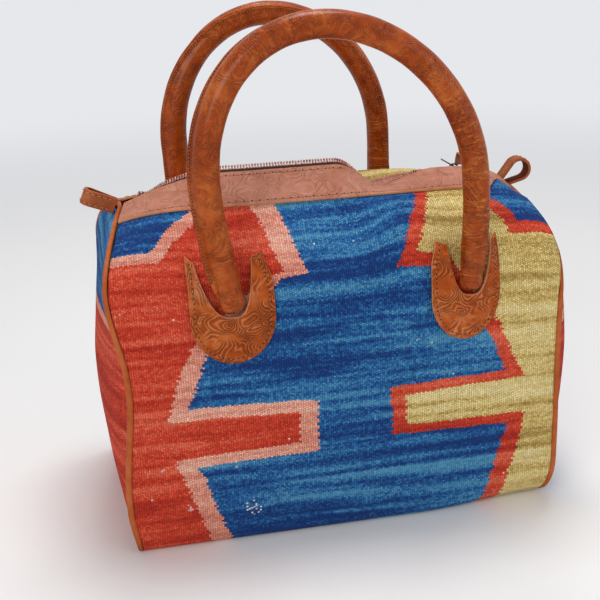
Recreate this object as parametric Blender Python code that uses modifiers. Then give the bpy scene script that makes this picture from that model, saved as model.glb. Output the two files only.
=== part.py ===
"""Satchel handbag of woven rug cloth and tooled leather, zip open, standing on its base.

Axes: +X to the bag's right end, +Y to its back, +Z up. The origin is the centre of the base,
on the surface that the bag stands on. All sizes are in metres and all angles in degrees.
"""

import math

import bmesh
import bpy
from mathutils import Vector

# Cloth body
BODY_LENGTH = 0.358          # end seam to end seam
BODY_DEPTH = 0.200           # front face to back face
FACE_BULGE = 0.004           # how far the faces swell in the middle
SHOULDER_HEIGHT = 0.186      # where the faces start to lean in
BASE_CORNER = 0.010          # rounding between a face and the base
BASE_CORNER_RIGHT = 0.018    # extra rounding at the lifted right front corner
END_SHIFT = 0.0018           # both end seams lie this far to the left
SHOULDER_SWELL = 0.0042      # left end seam pushed out below the rounded top
SWELL_HEIGHT = 0.222
SWELL_SPAN = 0.070
WAIST_PINCH = 0.0070         # left end seam drawn in at mid height
WAIST_PINCH_RIGHT = 0.0010   # right end seam drawn in there
WAIST_HEIGHT = 0.138
WAIST_SPAN = 0.085
TOP_PINCH = 0.036            # how far the left end seam would round in at its crown
TOP_PINCH_RIGHT = 0.024
CROWN_RISE = 0.006           # the left crown lies this far above the band's height
CROWN_RISE_RIGHT = -0.0045
CROWN_ROUND = 0.060          # height over which the left end seam rounds in
CROWN_ROUND_RIGHT = 0.0395
BASE_PINCH = 0.005           # end seams drawn in at the base
CLOTH = 0.003                # thickness of the rug cloth
LINING = 0.0008
LINING_EASE = 0.0005         # the lining lies this far inside the cloth at the base
LINING_SLACK = 0.0030        # and this far at the bands
GUSSET_BULGE = 0.019         # how far the end panels swell out

# Leather bands on both sides of the zip
BAND_WIDTH = 0.031
BAND_THICKNESS = 0.0020
BAND_HEIGHT = 0.2690         # lower edge of the front band
BAND_REACH = 0.052           # its distance from the middle plane at mid length
BAND_REACH_END = 0.0362      # and at the ends
BAND_END_DROP = 0.010        # how far the bands fall to the left end seam
BAND_END_DROP_RIGHT = 0.017  # and to the right one
CLOTH_UNDER_BAND = 0.010     # seam allowance of cloth under the band
BACK_REACH = 0.0434          # distance of the back band's lower edge from the middle plane
BACK_SLUMP = 0.014           # the back half has sunk by this much
BACK_CREST_RISE = 0.006      # and rises again near the right end
END_LEAN = 15.0              # lean of both bands at their ends
FRONT_LEAN = 47.0            # lean of the front band on its high left part
DIP_LEAN = -1.0              # lean where the front band dips
RIGHT_LEAN = 21.0            # lean right of the dip
BACK_LEAN = -38.0            # the back band is folded down into the mouth
DIP_PLACE = 0.050            # distance of the dip from mid length
LEFT_RISE = 0.080            # length over which the front band rises from its left end
DIP_WIDTH = 0.045

# Piping and seams
PIPING_RADIUS = 0.0022
GAP = 0.0003                 # clearance between pieces that touch

# Zip
TAPE_THICKNESS = 0.0010
TAPE_TUCK = 0.0050           # tape sewn under the band
TAPE_SHOW = 0.0036           # tape and bead beyond the band's edge
ZIP_ENDS = 0.029             # the toothed chain stops this far short of the end seams
ZIP_RISE = 0.0035            # the slider's line lies this far above the front band's lower edge
CHAIN_STRAIGHT = 0.046       # length at the right end where the chains run side by side
CHAIN_BLEND = 0.020          # length over which they draw together
CHAIN_LEVEL = 0.016          # they come level this much sooner
CHAIN_STEPS = 4              # divisions of a column where they bend
TOOTH_PITCH = 0.0033
TOOTH_WIDTH = 0.0014
TOOTH_HEIGHT = 0.0024
BEAD_HEIGHT = 0.0012
TOOTH_THICKNESS = 0.0022

# Zip slider and its pull
SLIDER_LENGTH = 0.013
SLIDER_WIDTH = 0.0116
SLIDER_PLATE = 0.0012
SLIDER_FROM_END = 0.031      # its middle, with the zip open, from the chain's right end
WEDGE_HALF = 0.0012          # half the width of the wedge between the slider's plates
WEDGE_LENGTH = 0.004
SLIDER_SLOT_EASE = 0.0004    # clearance of the teeth in the slider, above, below and at the wedge
BRIDGE_RADIUS = 0.0008
BRIDGE_LENGTH = 0.0064
BRIDGE_HEIGHT = 0.0030
BRIDGE_SINK = 0.0004         # the bridge's feet reach this far into the plate
PULL_LENGTH = 0.0145
PULL_WIDTH = 0.0056
PULL_THICKNESS = 0.0011
PULL_WINDOW = 0.0062         # length of the window that the bridge passes through
PULL_BAR = 0.0013            # metal beside the window
PULL_LIFT = 32.0             # the pull stands up from the slider by this angle

# Leather hood over the zip's right end
HOOD_START_FROM_END = 0.027  # from the chain's right end
HOOD_END_FROM_END = 0.007
HOOD_RADIUS = 0.0082
HOOD_THICKNESS = 0.0016
HOOD_FLOOR = 0.0028          # its feet stand this far above the slider's line

# Handles
HANDLE_RADIUS = 0.0103
HANDLE_WALL = 0.0022
CORE_EASE = 0.0004
SEAM_LIP = 0.0032            # stitched lip along the outside of each handle
SEAM_LIP_THICKNESS = 0.0038
SEAM_SLIT = 0.0008           # between the two layers of the lip
SEAM_TURN = 65.0             # over the bow the lip turns this far towards the bag's middle
SEAM_RETURN_HEIGHT = 0.065   # height over the handles' ends in which it turns back
HANDLE_END_DEPTH = 0.0060    # half the thickness of the flattened ends
HANDLE_END_WIDTH = 0.0090    # half their width
HANDLE_TAPER = 0.030         # length over which the ends flatten
HANDLE_BASE_SPREAD = 0.091   # handle end to the handle's middle
FRONT_RIGHT_OUT = 0.0055     # the front handle's right end is sewn on this much further out
SEAT_BELOW_TIPS = 0.035      # the ends' turning axis below the tips of the patches
HANDLE_HALF_WIDTH = 0.102
LEG_HEIGHT = 0.0885          # from the turning axis to where the legs turn into the bow
FRONT_BOW_HEIGHT = 0.1153
BACK_BOW_HEIGHT = 0.1088
FRONT_HANDLE_LEAN = -0.018   # sideways lean of the bow at its top
BACK_HANDLE_LEAN = -0.0072
BACK_HANDLE_SHIFT = -0.0118  # the back handle is sewn on further to the left
BACK_HANDLE_NARROW = 0.0074

# Leather patches over the handle ends
PATCH_HALF_WIDTH = 0.0325    # of the left patches
RIGHT_PATCH_HALF_WIDTH = 0.0280
PATCH_BELOW_BAND = 0.028     # the horns' tips below the band's lower edge
PATCH_BELOW_SEAT = 0.046     # the patches' lower edge below the handles' turning axis
NOTCH_OFFSET = 0.0025        # the front right notch lies this far outside its patch's middle
HORN_SLANT = 0.005           # the tips are cut at a slant, lower towards the notch
PATCH_ROUND = 0.036          # height of the rounded lower part
PATCH_THICKNESS = 0.0022
PATCH_STAND = 0.0009         # the flat leather stands this far off the curved cloth
NOTCH_DROP = 0.0075          # bottom of the notch under the handle's turning axis
OUTER_HORN = 0.0055          # width of the outer horn's tip
INNER_HORN = 0.0110          # and of the inner horn's
NOTCH_LIFT = 0.0075          # how far the patch stands off the cloth at its notch

# Loops at the two ends
LOOP_STRAP_WIDTH = 0.013
LOOP_STRAP_THICKNESS = 0.0026
LEFT_LOOP_LENGTH = 0.028
LEFT_LOOP_OPENING = 0.0080
LEFT_LOOP_RISE = 24.0
RIGHT_LOOP_LENGTH = 0.031
RIGHT_LOOP_OPENING = 0.0150
RIGHT_LOOP_RISE = 42.0
LOOP_SEAT = 0.0027           # room between a tilted strap's end and the end panel below it
LEFT_LOOP_LIFT = -0.0003     # the straps' ends lie this far above the top of the end seams
RIGHT_LOOP_LIFT = 0.0032
LEFT_LOOP_OFFSET = 0.006     # the left loop sits this far in front of the middle plane

# How finely the soft pieces are divided
COLUMNS = 24                 # an even number
ARCH_STEPS = 5
FACE_STEPS = 2
CORNER_STEPS = 2
LEG_STEPS = 5
BOW_STEPS = 12

# Places and heights that follow from the sizes above
ZIP_HALF = BODY_LENGTH / 2 - ZIP_ENDS
SLIDER_PLACE = ZIP_HALF - SLIDER_FROM_END
HOOD_START = ZIP_HALF - HOOD_START_FROM_END
HOOD_END = ZIP_HALF - HOOD_END_FROM_END
ZIP_HEIGHT = BAND_HEIGHT + ZIP_RISE
PATCH_TOP = BAND_HEIGHT - PATCH_BELOW_BAND
HANDLE_SEAT_HEIGHT = PATCH_TOP - SEAT_BELOW_TIPS
PATCH_BOTTOM = HANDLE_SEAT_HEIGHT - PATCH_BELOW_SEAT
HANDLE_SPRING_HEIGHT = HANDLE_SEAT_HEIGHT + LEG_HEIGHT

FRONT, BACK = -1, 1


def clear_scene():
    for obj in list(bpy.data.objects):
        bpy.data.objects.remove(obj, do_unlink=True)


def make_collection(name):
    found = bpy.data.collections.new(name)
    bpy.context.scene.collection.children.link(found)
    return found


def material(name, colour, roughness, metallic=0.0):
    made = bpy.data.materials.new(name)
    made.use_nodes = True
    shader = made.node_tree.nodes["Principled BSDF"]
    shader.inputs["Base Color"].default_value = (*colour, 1.0)
    shader.inputs["Roughness"].default_value = roughness
    shader.inputs["Metallic"].default_value = metallic
    return made


def smooth(t):
    """0 below 0, 1 above 1, and a smooth rise between."""
    t = min(1.0, max(0.0, t))
    return t * t * (3 - 2 * t)


def mix(a, b, t):
    return a + (b - a) * t


def hump(t):
    """1 at t = 0, falling smoothly to 0 at t = -1 and t = 1."""
    return 1 - smooth(abs(t))


# The shape of the cloth body

def half_length(z, end):
    """Distance of an end seam from mid length, at height z."""
    if end > 0:
        half, swell, waist = BODY_LENGTH / 2 - END_SHIFT, 0.0, WAIST_PINCH_RIGHT
        top, rise, rounding = TOP_PINCH_RIGHT, CROWN_RISE_RIGHT, CROWN_ROUND_RIGHT
        tip = -BAND_END_DROP_RIGHT + BAND_WIDTH * math.sin(math.radians(RIGHT_LEAN))
    else:
        half, swell, waist = BODY_LENGTH / 2 + END_SHIFT, SHOULDER_SWELL, WAIST_PINCH
        top, rise, rounding = TOP_PINCH, CROWN_RISE, CROWN_ROUND
        tip = -BAND_END_DROP + BAND_WIDTH * math.sin(math.radians(END_LEAN))
    z = min(z, BAND_HEIGHT + tip)
    round_in = max(0.0, 1 - (BAND_HEIGHT + rise - z) / rounding)
    taper = 1 - math.sqrt(max(0.0, 1 - round_in ** 2))
    base = BASE_PINCH * (1 - smooth(z / (4 * BASE_CORNER)))
    return (half + swell * hump((z - SWELL_HEIGHT) / SWELL_SPAN) - top * taper - base
            - waist * hump((z - WAIST_HEIGHT) / WAIST_SPAN))


def band_lean(share, side):
    """Lean of the band above the horizontal, in degrees. share runs from -1 to 1 along the bag."""
    if side == BACK:
        return mix(END_LEAN, BACK_LEAN, smooth((1 - abs(share)) / 0.8))
    x = share * half_length(BAND_HEIGHT, share)
    left = smooth((x + half_length(BAND_HEIGHT, -1)) / LEFT_RISE)
    into_dip = smooth((x - DIP_PLACE) / DIP_WIDTH + 1)
    out_of_dip = smooth((x - DIP_PLACE) / DIP_WIDTH)
    lean = mix(END_LEAN, FRONT_LEAN, left)
    lean = mix(lean, DIP_LEAN, into_dip)
    return mix(lean, RIGHT_LEAN, out_of_dip)


def band_foot(share, side):
    """(y, z) of the band's lower edge."""
    reach = mix(BACK_REACH if side == BACK else BAND_REACH, BAND_REACH_END, abs(share) ** 4)
    drop = BAND_END_DROP_RIGHT if share > 0 else BAND_END_DROP
    height = BAND_HEIGHT - drop * abs(share) ** 8
    if side == BACK:
        x = share * half_length(BAND_HEIGHT, share)
        slump = BACK_SLUMP - BACK_CREST_RISE * hump((x - 2 * DIP_PLACE) / (2 * DIP_WIDTH))
        height -= slump * (1 - abs(share) ** 2.5)
    return side * reach, height


def bezier(p0, p1, p2, p3, t):
    s = 1 - t
    return tuple(s**3 * a + 3 * s * s * t * b + 3 * s * t * t * c + t**3 * d
                 for a, b, c, d in zip(p0, p1, p2, p3))


def half_section(share, side, above=(1.0,)):
    """(y, z) points of one half of the body's section, from the band down to the base's middle.

    above lists places on the band's width to put before its lower edge, where 0 is the lower
    edge and 1 is the zip edge.
    """
    foot = band_foot(share, side)
    lean = math.radians(band_lean(share, side))
    inward = (-side * math.cos(lean), math.sin(lean))
    points = [(foot[0] + inward[0] * BAND_WIDTH * a, foot[1] + inward[1] * BAND_WIDTH * a)
              for a in above]
    swell = FACE_BULGE * (1 - share * share)
    depth = BODY_DEPTH / 2
    shoulder = (side * (depth + swell * 0.6), SHOULDER_HEIGHT)
    pull = 0.45 * math.hypot(shoulder[0] - foot[0], foot[1] - shoulder[1])
    for i in range(ARCH_STEPS):
        points.append(bezier(foot, (foot[0] - inward[0] * pull, foot[1] - inward[1] * pull),
                             (shoulder[0], shoulder[1] + pull), shoulder, i / ARCH_STEPS))
    corner = BASE_CORNER
    if side == FRONT:
        corner += BASE_CORNER_RIGHT * smooth((share - 0.35) / 0.65)
    for i in range(FACE_STEPS):
        t = i / FACE_STEPS
        z = mix(SHOULDER_HEIGHT, corner, t)
        points.append((side * (depth + swell * (0.6 + 0.4 * math.sin(math.pi * t) - 0.6 * t)), z))
    for i in range(CORNER_STEPS + 1):
        a = math.pi / 2 * i / CORNER_STEPS
        points.append((side * (depth - corner * (1 - math.cos(a))), corner * (1 - math.sin(a))))
    points.append((side * (depth - corner) / 2, 0.0))
    return points


def full_section(share, above):
    """The whole section from the front zip edge, under the base, to the back zip edge."""
    front = half_section(share, FRONT, above)
    back = half_section(share, BACK, above)
    return front + [(0.0, 0.0)] + back[::-1]


def inset(points, distance):
    """The section moved inwards by distance along its normals."""
    moved = []
    for i, (y, z) in enumerate(points):
        before, after = points[max(0, i - 1)], points[min(len(points) - 1, i + 1)]
        dy, dz = after[0] - before[0], after[1] - before[1]
        length = math.hypot(dy, dz)
        moved.append((y - dz / length * distance, z + dy / length * distance))
    return moved


def body_point(share, y, z, inside=0.0):
    """A point of the section at its place along the bag, inside metres short of the end seam."""
    return Vector((share * (half_length(z, share) - inside), y, z))


def columns():
    return [mix(-1, 1, i / COLUMNS) for i in range(COLUMNS + 1)]


def surface_point(x, z, side, outward):
    """The point of a face at (x, z), moved outward along the section's normal."""
    share = x / half_length(z, x)
    points = half_section(share, side, above=(1.0,))
    for (ya, za), (yb, zb) in zip(points[1:], points[2:]):
        if zb <= z <= za:
            t = (za - z) / (za - zb)
            length = math.hypot(yb - ya, zb - za)
            normal = (abs(zb - za) / length * side, (yb - ya) / length * side)
            return Vector((x, mix(ya, yb, t) + normal[0] * outward, z + normal[1] * outward))
    raise ValueError("no point of the face lies at this height")


# Helpers that turn points into objects

def add_object(name, data, collection, look=None):
    obj = bpy.data.objects.new(name, data)
    collection.objects.link(obj)
    if look:
        obj.data.materials.append(look)
    return obj


def object_from_bmesh(name, bm, collection, look):
    mesh = bpy.data.meshes.new(name)
    bm.normal_update()
    bm.to_mesh(mesh)
    bm.free()
    mesh.shade_smooth()
    mesh.set_sharp_from_angle(angle=math.radians(40))
    return add_object(name, mesh, collection, look)


def grid_bmesh(rows, flip=False):
    """An open sheet through rows of points."""
    bm = bmesh.new()
    made = [[bm.verts.new(p) for p in row] for row in rows]
    for first, second in zip(made, made[1:]):
        for a, b, c, d in zip(first, first[1:], second[1:], second):
            if flip:
                bm.faces.new((d, b, a))
                bm.faces.new((d, c, b))
            else:
                bm.faces.new((a, b, c))
                bm.faces.new((a, c, d))
    return bm


def solidify(obj, thickness, outward=False):
    """Gives a sheet its thickness, on the side away from its normals unless outward is set."""
    shell = obj.modifiers.new("thickness", "SOLIDIFY")
    shell.thickness = thickness
    shell.offset = 1 if outward else -1
    shell.use_even_offset = True
    return obj


def poly_curve(name, points, collection, look, radius, sides=2, cyclic=False):
    """A round tube through the points."""
    curve = bpy.data.curves.new(name, "CURVE")
    curve.dimensions = "3D"
    curve.bevel_depth = radius
    curve.bevel_resolution = sides
    curve.use_fill_caps = True
    spline = curve.splines.new("POLY")
    spline.points.add(len(points) - 1)
    for item, p in zip(spline.points, points):
        item.co = (*p, 1)
    spline.use_cyclic_u = cyclic
    return add_object(name, curve, collection, look)


def flat_outline(name, outline, thickness, collection, look):
    """A plate from a closed outline in its own XY plane, centred on that plane."""
    curve = bpy.data.curves.new(name, "CURVE")
    curve.dimensions = "2D"
    curve.fill_mode = "BOTH"
    curve.extrude = thickness / 2
    for loop in outline:
        spline = curve.splines.new("POLY")
        spline.points.add(len(loop) - 1)
        for item, p in zip(spline.points, loop):
            item.co = (p[0], p[1], 0, 1)
        spline.use_cyclic_u = True
    return add_object(name, curve, collection, look)


def to_mesh_object(obj, weld=1e-5):
    """Makes a mesh of a curve object, with its caps welded, under the same name."""
    graph = bpy.context.evaluated_depsgraph_get()
    mesh = bpy.data.meshes.new_from_object(obj.evaluated_get(graph))
    bm = bmesh.new()
    bm.from_mesh(mesh)
    bmesh.ops.remove_doubles(bm, verts=bm.verts, dist=weld)
    bmesh.ops.recalc_face_normals(bm, faces=bm.faces)
    bm.to_mesh(mesh)
    bm.free()
    name, collections, place = obj.name, list(obj.users_collection), obj.matrix_world.copy()
    bpy.data.objects.remove(obj, do_unlink=True)
    made = bpy.data.objects.new(name, mesh)
    made.matrix_world = place
    for collection in collections:
        collection.objects.link(made)
    return made


def placed(obj, place=Vector((0, 0, 0))):
    """Moves a curve object to its place and makes a mesh of it."""
    obj.location = place
    bpy.context.view_layer.update()
    return to_mesh_object(obj)


def unite(obj, other):
    """Joins another solid to obj. The other one stays as a hidden guide."""
    joined = obj.modifiers.new(other.name, "BOOLEAN")
    joined.operation = "UNION"
    joined.object = other
    other.hide_render = True
    other.display_type = "WIRE"


def move_origin(obj, point):
    """Puts the object's origin at a point of the bag, with its shape left where it is."""
    bpy.context.view_layer.update()
    shift = obj.matrix_world.inverted() @ point
    for vertex in obj.data.vertices:
        vertex.co -= shift
    obj.location = obj.matrix_world @ shift


# Cloth pieces

def build_body_panel(bag, cloth):
    """One cloth from under the front band, down, under the base and up to the back band."""
    tucked = CLOTH_UNDER_BAND / BAND_WIDTH
    rows = []
    for share in columns():
        inside = PIPING_RADIUS + GAP
        rows.append([body_point(share, y, z, inside) for y, z in full_section(share, (tucked,))])
    panel = object_from_bmesh("body_panel", grid_bmesh(rows), bag, cloth)
    return solidify(panel, CLOTH)


def end_rows(end, distance, top):
    """Pairs of front and back points of the end section, from the top down to the base."""
    points = inset(full_section(end, top), distance)
    pairs = len(top) + ARCH_STEPS + FACE_STEPS + CORNER_STEPS + 1
    return [(points[i], points[-1 - i]) for i in range(pairs)]


def build_gusset(name, end, bag, cloth):
    """An end panel, swollen outwards, inside its ring of piping."""
    edge = CLOTH / 2 + PIPING_RADIUS + GAP
    across = 6
    rows = []
    pairs = end_rows(end, edge, (0.85, 0.4))
    top, base = pairs[0][0][1], pairs[-1][0][1]
    for front, back in pairs:
        down = (top - front[1]) / (top - base)
        full = GUSSET_BULGE * math.sin(math.pi * min(1.0, down) ** 1.35) ** 0.9
        row = []
        for j in range(across + 1):
            t = j / across
            y = mix(front[0], back[0], t)
            z = max(mix(front[1], back[1], t), 2 * PIPING_RADIUS + GAP)
            swell = full * (1 - abs(2 * t - 1) ** 2.6)
            x = end * (half_length(z, end) + CLOTH / 2 + swell)
            row.append(Vector((x, y, z)))
        rows.append(row)
    panel = object_from_bmesh(name, grid_bmesh(rows, flip=end > 0), bag, cloth)
    return solidify(panel, CLOTH)


def build_piping(name, end, bag, leather):
    """A leather covered cord in the seam round an end panel."""
    ring = inset(full_section(end, (0.97,)), CLOTH / 2)
    points = [Vector((end * half_length(z, end), y, max(z, PIPING_RADIUS))) for y, z in ring]
    return poly_curve(name, points, bag, leather, PIPING_RADIUS, sides=1, cyclic=True)


def build_lining(bag, cotton):
    """A cotton sack inside the cloth, open along the zip."""
    top = (CLOTH_UNDER_BAND / BAND_WIDTH,)
    inside = CLOTH + LINING_EASE + PIPING_RADIUS + CLOTH / 2
    bm = bmesh.new()
    sections = []
    for share in columns()[::2]:
        section = full_section(share, top)
        tight, loose = inset(section, CLOTH + LINING_EASE), inset(section, CLOTH + LINING_SLACK)
        ring = []
        for (_, height), (ya, za), (yb, zb) in zip(section, tight, loose):
            t = height / BAND_HEIGHT
            ring.append(bm.verts.new(body_point(share, mix(ya, yb, t), mix(za, zb, t), inside)))
        sections.append(ring)
    for first, second in zip(sections, sections[1:]):
        for a, b, c, d in zip(first, first[1:], second[1:], second):
            bm.faces.new((a, b, c))
            bm.faces.new((a, c, d))
    across = 4
    for end, ring in ((-1, sections[0]), (1, sections[-1])):
        last = len(ring) - 1
        rows = []
        middle = last // 2
        for i in range(middle - 2):
            front, back = ring[i], ring[last - i]
            row = [front]
            row += [bm.verts.new(front.co.lerp(back.co, j / across)) for j in range(1, across)]
            rows.append(row + [back])
        rows.append(ring[middle - 2:middle + 3])
        for first, second in zip(rows, rows[1:]):
            for a, b, c, d in zip(first, first[1:], second[1:], second):
                bm.faces.new((d, c, b, a) if end > 0 else (a, b, c, d))
    sack = object_from_bmesh("lining", bm, bag, cotton)
    return solidify(sack, LINING)


# Leather bands and zip

def build_band(name, side, bag, leather):
    rows = []
    for share in columns():
        places = (1.0, 1 - TAPE_TUCK / BAND_WIDTH, CLOTH_UNDER_BAND / BAND_WIDTH)
        line = inset(half_section(share, side, places)[:4], side * GAP)
        rows.append([body_point(share, y, z, PIPING_RADIUS + GAP) for y, z in line])
    band = object_from_bmesh(name, grid_bmesh(rows, flip=side == BACK), bag, leather)
    return solidify(band, BAND_THICKNESS, outward=True)


def chain_place(share, side):
    """(centre of the chain's foot, direction that the teeth point in) at one place.

    The chain follows the band's edge, and near the ends of the zip it comes level with the
    slider's line and then runs straight along it.
    """
    tip, root = half_section(share, side, (1.0, 0.5))[:2]
    inward = Vector((0, tip[0] - root[0], tip[1] - root[1])).normalized()
    x = body_point(share, *tip, PIPING_RADIUS + GAP).x
    free = Vector((x, *tip)) + inward * TAPE_SHOW
    joined = ZIP_HALF - CHAIN_STRAIGHT if x > 0 else ZIP_HALF
    together = smooth((abs(x) - joined) / CHAIN_BLEND + 1)
    level = smooth((x - joined + CHAIN_LEVEL) / CHAIN_BLEND + 1) if x > 0 else together
    point = Vector((x, mix(free.y, side * chain_spread(), together), mix(free.z, ZIP_HEIGHT, level)))
    return point, inward.lerp(Vector((0, -side, 0)), level).normalized()


def chain_spread():
    """Half the distance between the two chains where they run side by side."""
    return WEDGE_HALF + SLIDER_SLOT_EASE + TOOTH_HEIGHT + BEAD_HEIGHT


def zip_columns():
    """The columns, with more of them where the chains draw together."""
    bend = ZIP_HALF - CHAIN_STRAIGHT - CHAIN_BLEND / 2
    shares = []
    for a, b in zip(columns(), columns()[1:]):
        near = abs(body_point((a + b) / 2, 0, BAND_HEIGHT).x - bend) < CHAIN_BLEND + CHAIN_LEVEL
        steps = CHAIN_STEPS if near else 1
        shares += [mix(a, b, i / steps) for i in range(steps)]
    return shares + [1.0]


def sewn_tape(share, side):
    """Points of the tape under the band's edge and just beyond it, straight between columns."""
    places = (1 + (TAPE_THICKNESS + GAP) / BAND_WIDTH, 1.0, 1 - TAPE_TUCK / BAND_WIDTH)
    along = (share + 1) / 2 * COLUMNS
    i = min(int(along), COLUMNS - 1)
    near, far = ([body_point(s, y, z, PIPING_RADIUS + GAP)
                  for y, z in half_section(s, side, places)[:len(places)]]
                 for s in columns()[i:i + 2])
    return [p.lerp(q, along - i) for p, q in zip(near, far)]


def build_tape(name, side, bag, weave):
    """Woven tape from under the band to the foot of the teeth."""
    rows = []
    for share in zip_columns()[1:-1]:
        foot, direction = chain_place(share, side)
        normal = Vector((0, -direction.z, direction.y)) * side
        edge = foot - direction * 2 * GAP - normal * TAPE_THICKNESS / 2
        rows.append([edge, edge - direction * TAPE_THICKNESS] + sewn_tape(share, side))
    tape = object_from_bmesh(name, grid_bmesh(rows, flip=side == BACK), bag, weave)
    return solidify(tape, TAPE_THICKNESS)


def build_chain(name, side, bag, metal):
    """A comb of metal teeth on a bead, bent along the edge of the tape."""
    places = [chain_place(share, side) for share in zip_columns()]

    def bent(along, height, thick):
        for (p, d), (q, e) in zip(places, places[1:]):
            if p.x <= along <= q.x:
                t = (along - p.x) / (q.x - p.x)
                direction = d.lerp(e, t).normalized()
                normal = Vector((0, -direction.z, direction.y))
                return bm.verts.new(p.lerp(q, t) + direction * height + normal * thick)

    bm = bmesh.new()
    half = TOOTH_THICKNESS / 2
    top = BEAD_HEIGHT + TOOTH_HEIGHT
    count = int(2 * ZIP_HALF / TOOTH_PITCH)
    teeth = []
    for i in range(count + 1):
        near = -ZIP_HALF + i * TOOTH_PITCH
        heights = [(near, 0), (near, BEAD_HEIGHT)]
        if i < count:
            far = near + TOOTH_WIDTH
            heights += [(near, top), (far, top), (far, BEAD_HEIGHT)]
        teeth.append([[bent(x, h, thick) for x, h in heights] for thick in (half, -half)])
    for (upper, lower), (next_upper, next_lower) in zip(teeth, teeth[1:]):
        for points, after in ((upper, next_upper), (lower, next_lower)):
            bm.faces.new([points[0], after[0], after[1]] + points[:0:-1])
        bm.faces.new((upper[0], lower[0], next_lower[0], next_upper[0]))
        bm.faces.new((upper[4], next_upper[1], next_lower[1], lower[4]))
        for k in (1, 2, 3):
            bm.faces.new((upper[k], upper[k + 1], lower[k + 1], lower[k]))
    for upper, lower in (teeth[0], teeth[-1]):
        bm.faces.new((upper[0], upper[1], lower[1], lower[0]))
    bmesh.ops.recalc_face_normals(bm, faces=bm.faces)
    return object_from_bmesh(name, bm, bag, metal)


def build_slider(bag, cutters, metal):
    """Two plates joined by a wedge, with the bridge that carries the pull."""
    slot = TOOTH_THICKNESS + 2 * SLIDER_SLOT_EASE
    half, wide = SLIDER_LENGTH / 2, SLIDER_WIDTH / 2
    outline = [(-half, wide), (half * 0.3, wide), (half, wide * 0.7),
               (half, -wide * 0.7), (half * 0.3, -wide), (-half, -wide)]
    centre = Vector((SLIDER_PLACE, 0, ZIP_HEIGHT))
    top = placed(flat_outline("zip_slider", [outline], SLIDER_PLATE, bag, metal),
                 centre + Vector((0, 0, (slot + SLIDER_PLATE) / 2)))
    bottom = placed(flat_outline("slider_floor", [outline], SLIDER_PLATE, cutters, metal),
                    centre - Vector((0, 0, (slot + SLIDER_PLATE) / 2)))
    start = -half + SLIDER_PLATE / 2
    wedge_line = [(start, WEDGE_HALF), (start + WEDGE_LENGTH, WEDGE_HALF / 2),
                  (start + WEDGE_LENGTH, -WEDGE_HALF / 2), (start, -WEDGE_HALF)]
    wedge = placed(flat_outline("slider_wedge", [wedge_line], slot + SLIDER_PLATE, cutters, metal),
                   centre)
    arch = []
    for i in range(9):
        a = math.pi * (1 - i / 8)
        rise = BRIDGE_HEIGHT * math.sin(a) ** 0.6 if 0 < i < 8 else -BRIDGE_SINK
        arch.append(centre + Vector((BRIDGE_LENGTH / 2 * math.cos(a), 0,
                                     slot / 2 + SLIDER_PLATE + rise)))
    bridge = placed(poly_curve("slider_bridge", arch, cutters, metal, BRIDGE_RADIUS, sides=1))
    for part in (wedge, bottom, bridge):
        unite(top, part)
    move_origin(top, centre)
    return top


def pull_axis():
    """Middle of the pull's cross bar, under the slider's bridge."""
    slot = TOOTH_THICKNESS + 2 * SLIDER_SLOT_EASE
    under = (BRIDGE_HEIGHT - BRIDGE_RADIUS) / 2
    return Vector((SLIDER_PLACE, 0, ZIP_HEIGHT + slot / 2 + SLIDER_PLATE + under))


def build_pull(bag, metal):
    """A flat pull with a window at one end. Its cross bar turns under the slider's bridge."""
    half = PULL_WIDTH / 2
    tip = PULL_LENGTH - half
    outline = [(-PULL_THICKNESS / 2, half), (PULL_WINDOW + PULL_BAR, half), (tip, half * 0.62)]
    for i in range(1, 6):
        a = math.pi / 2 * (1 - i / 3)
        outline.append((tip + half * 0.62 * math.cos(a), half * 0.62 * math.sin(a)))
    outline += [(PULL_WINDOW + PULL_BAR, -half), (-PULL_THICKNESS / 2, -half)]
    side = half - PULL_BAR
    window = [(PULL_THICKNESS / 2, side), (PULL_WINDOW, side),
              (PULL_WINDOW, -side), (PULL_THICKNESS / 2, -side)]
    pull = flat_outline("zip_pull", [outline, window], PULL_THICKNESS, bag, metal)
    pull.rotation_euler = (0, math.radians(-PULL_LIFT), math.pi)
    return placed(pull, pull_axis())


def build_hood(bag, leather):
    """A leather strip curled over the right end of the zip, open towards the slider."""
    rows = []
    steps = 10
    floor = ZIP_HEIGHT + HOOD_FLOOR
    for x in (HOOD_START, mix(HOOD_START, HOOD_END, 0.5), HOOD_END):
        ring = [Vector((x, -HOOD_RADIUS, floor))]
        for i in range(steps + 1):
            a = math.pi * (1 - i / steps)
            ring.append(Vector((x, HOOD_RADIUS * math.cos(a),
                                floor + HOOD_RADIUS * 0.35 + HOOD_RADIUS * math.sin(a))))
        ring.append(Vector((x, HOOD_RADIUS, floor)))
        rows.append(ring)
    hood = object_from_bmesh("zip_end_hood", grid_bmesh(rows), bag, leather)
    return solidify(hood, HOOD_THICKNESS)


# Handles

def handle_base(side, end):
    """Turning point of a handle's end: it lies against the cloth."""
    shift = BACK_HANDLE_SHIFT if side == BACK else 0.0
    if side == FRONT and end > 0:
        shift = FRONT_RIGHT_OUT
    return surface_point(shift + end * HANDLE_BASE_SPREAD, HANDLE_SEAT_HEIGHT, side,
                         HANDLE_END_DEPTH + GAP)


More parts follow.
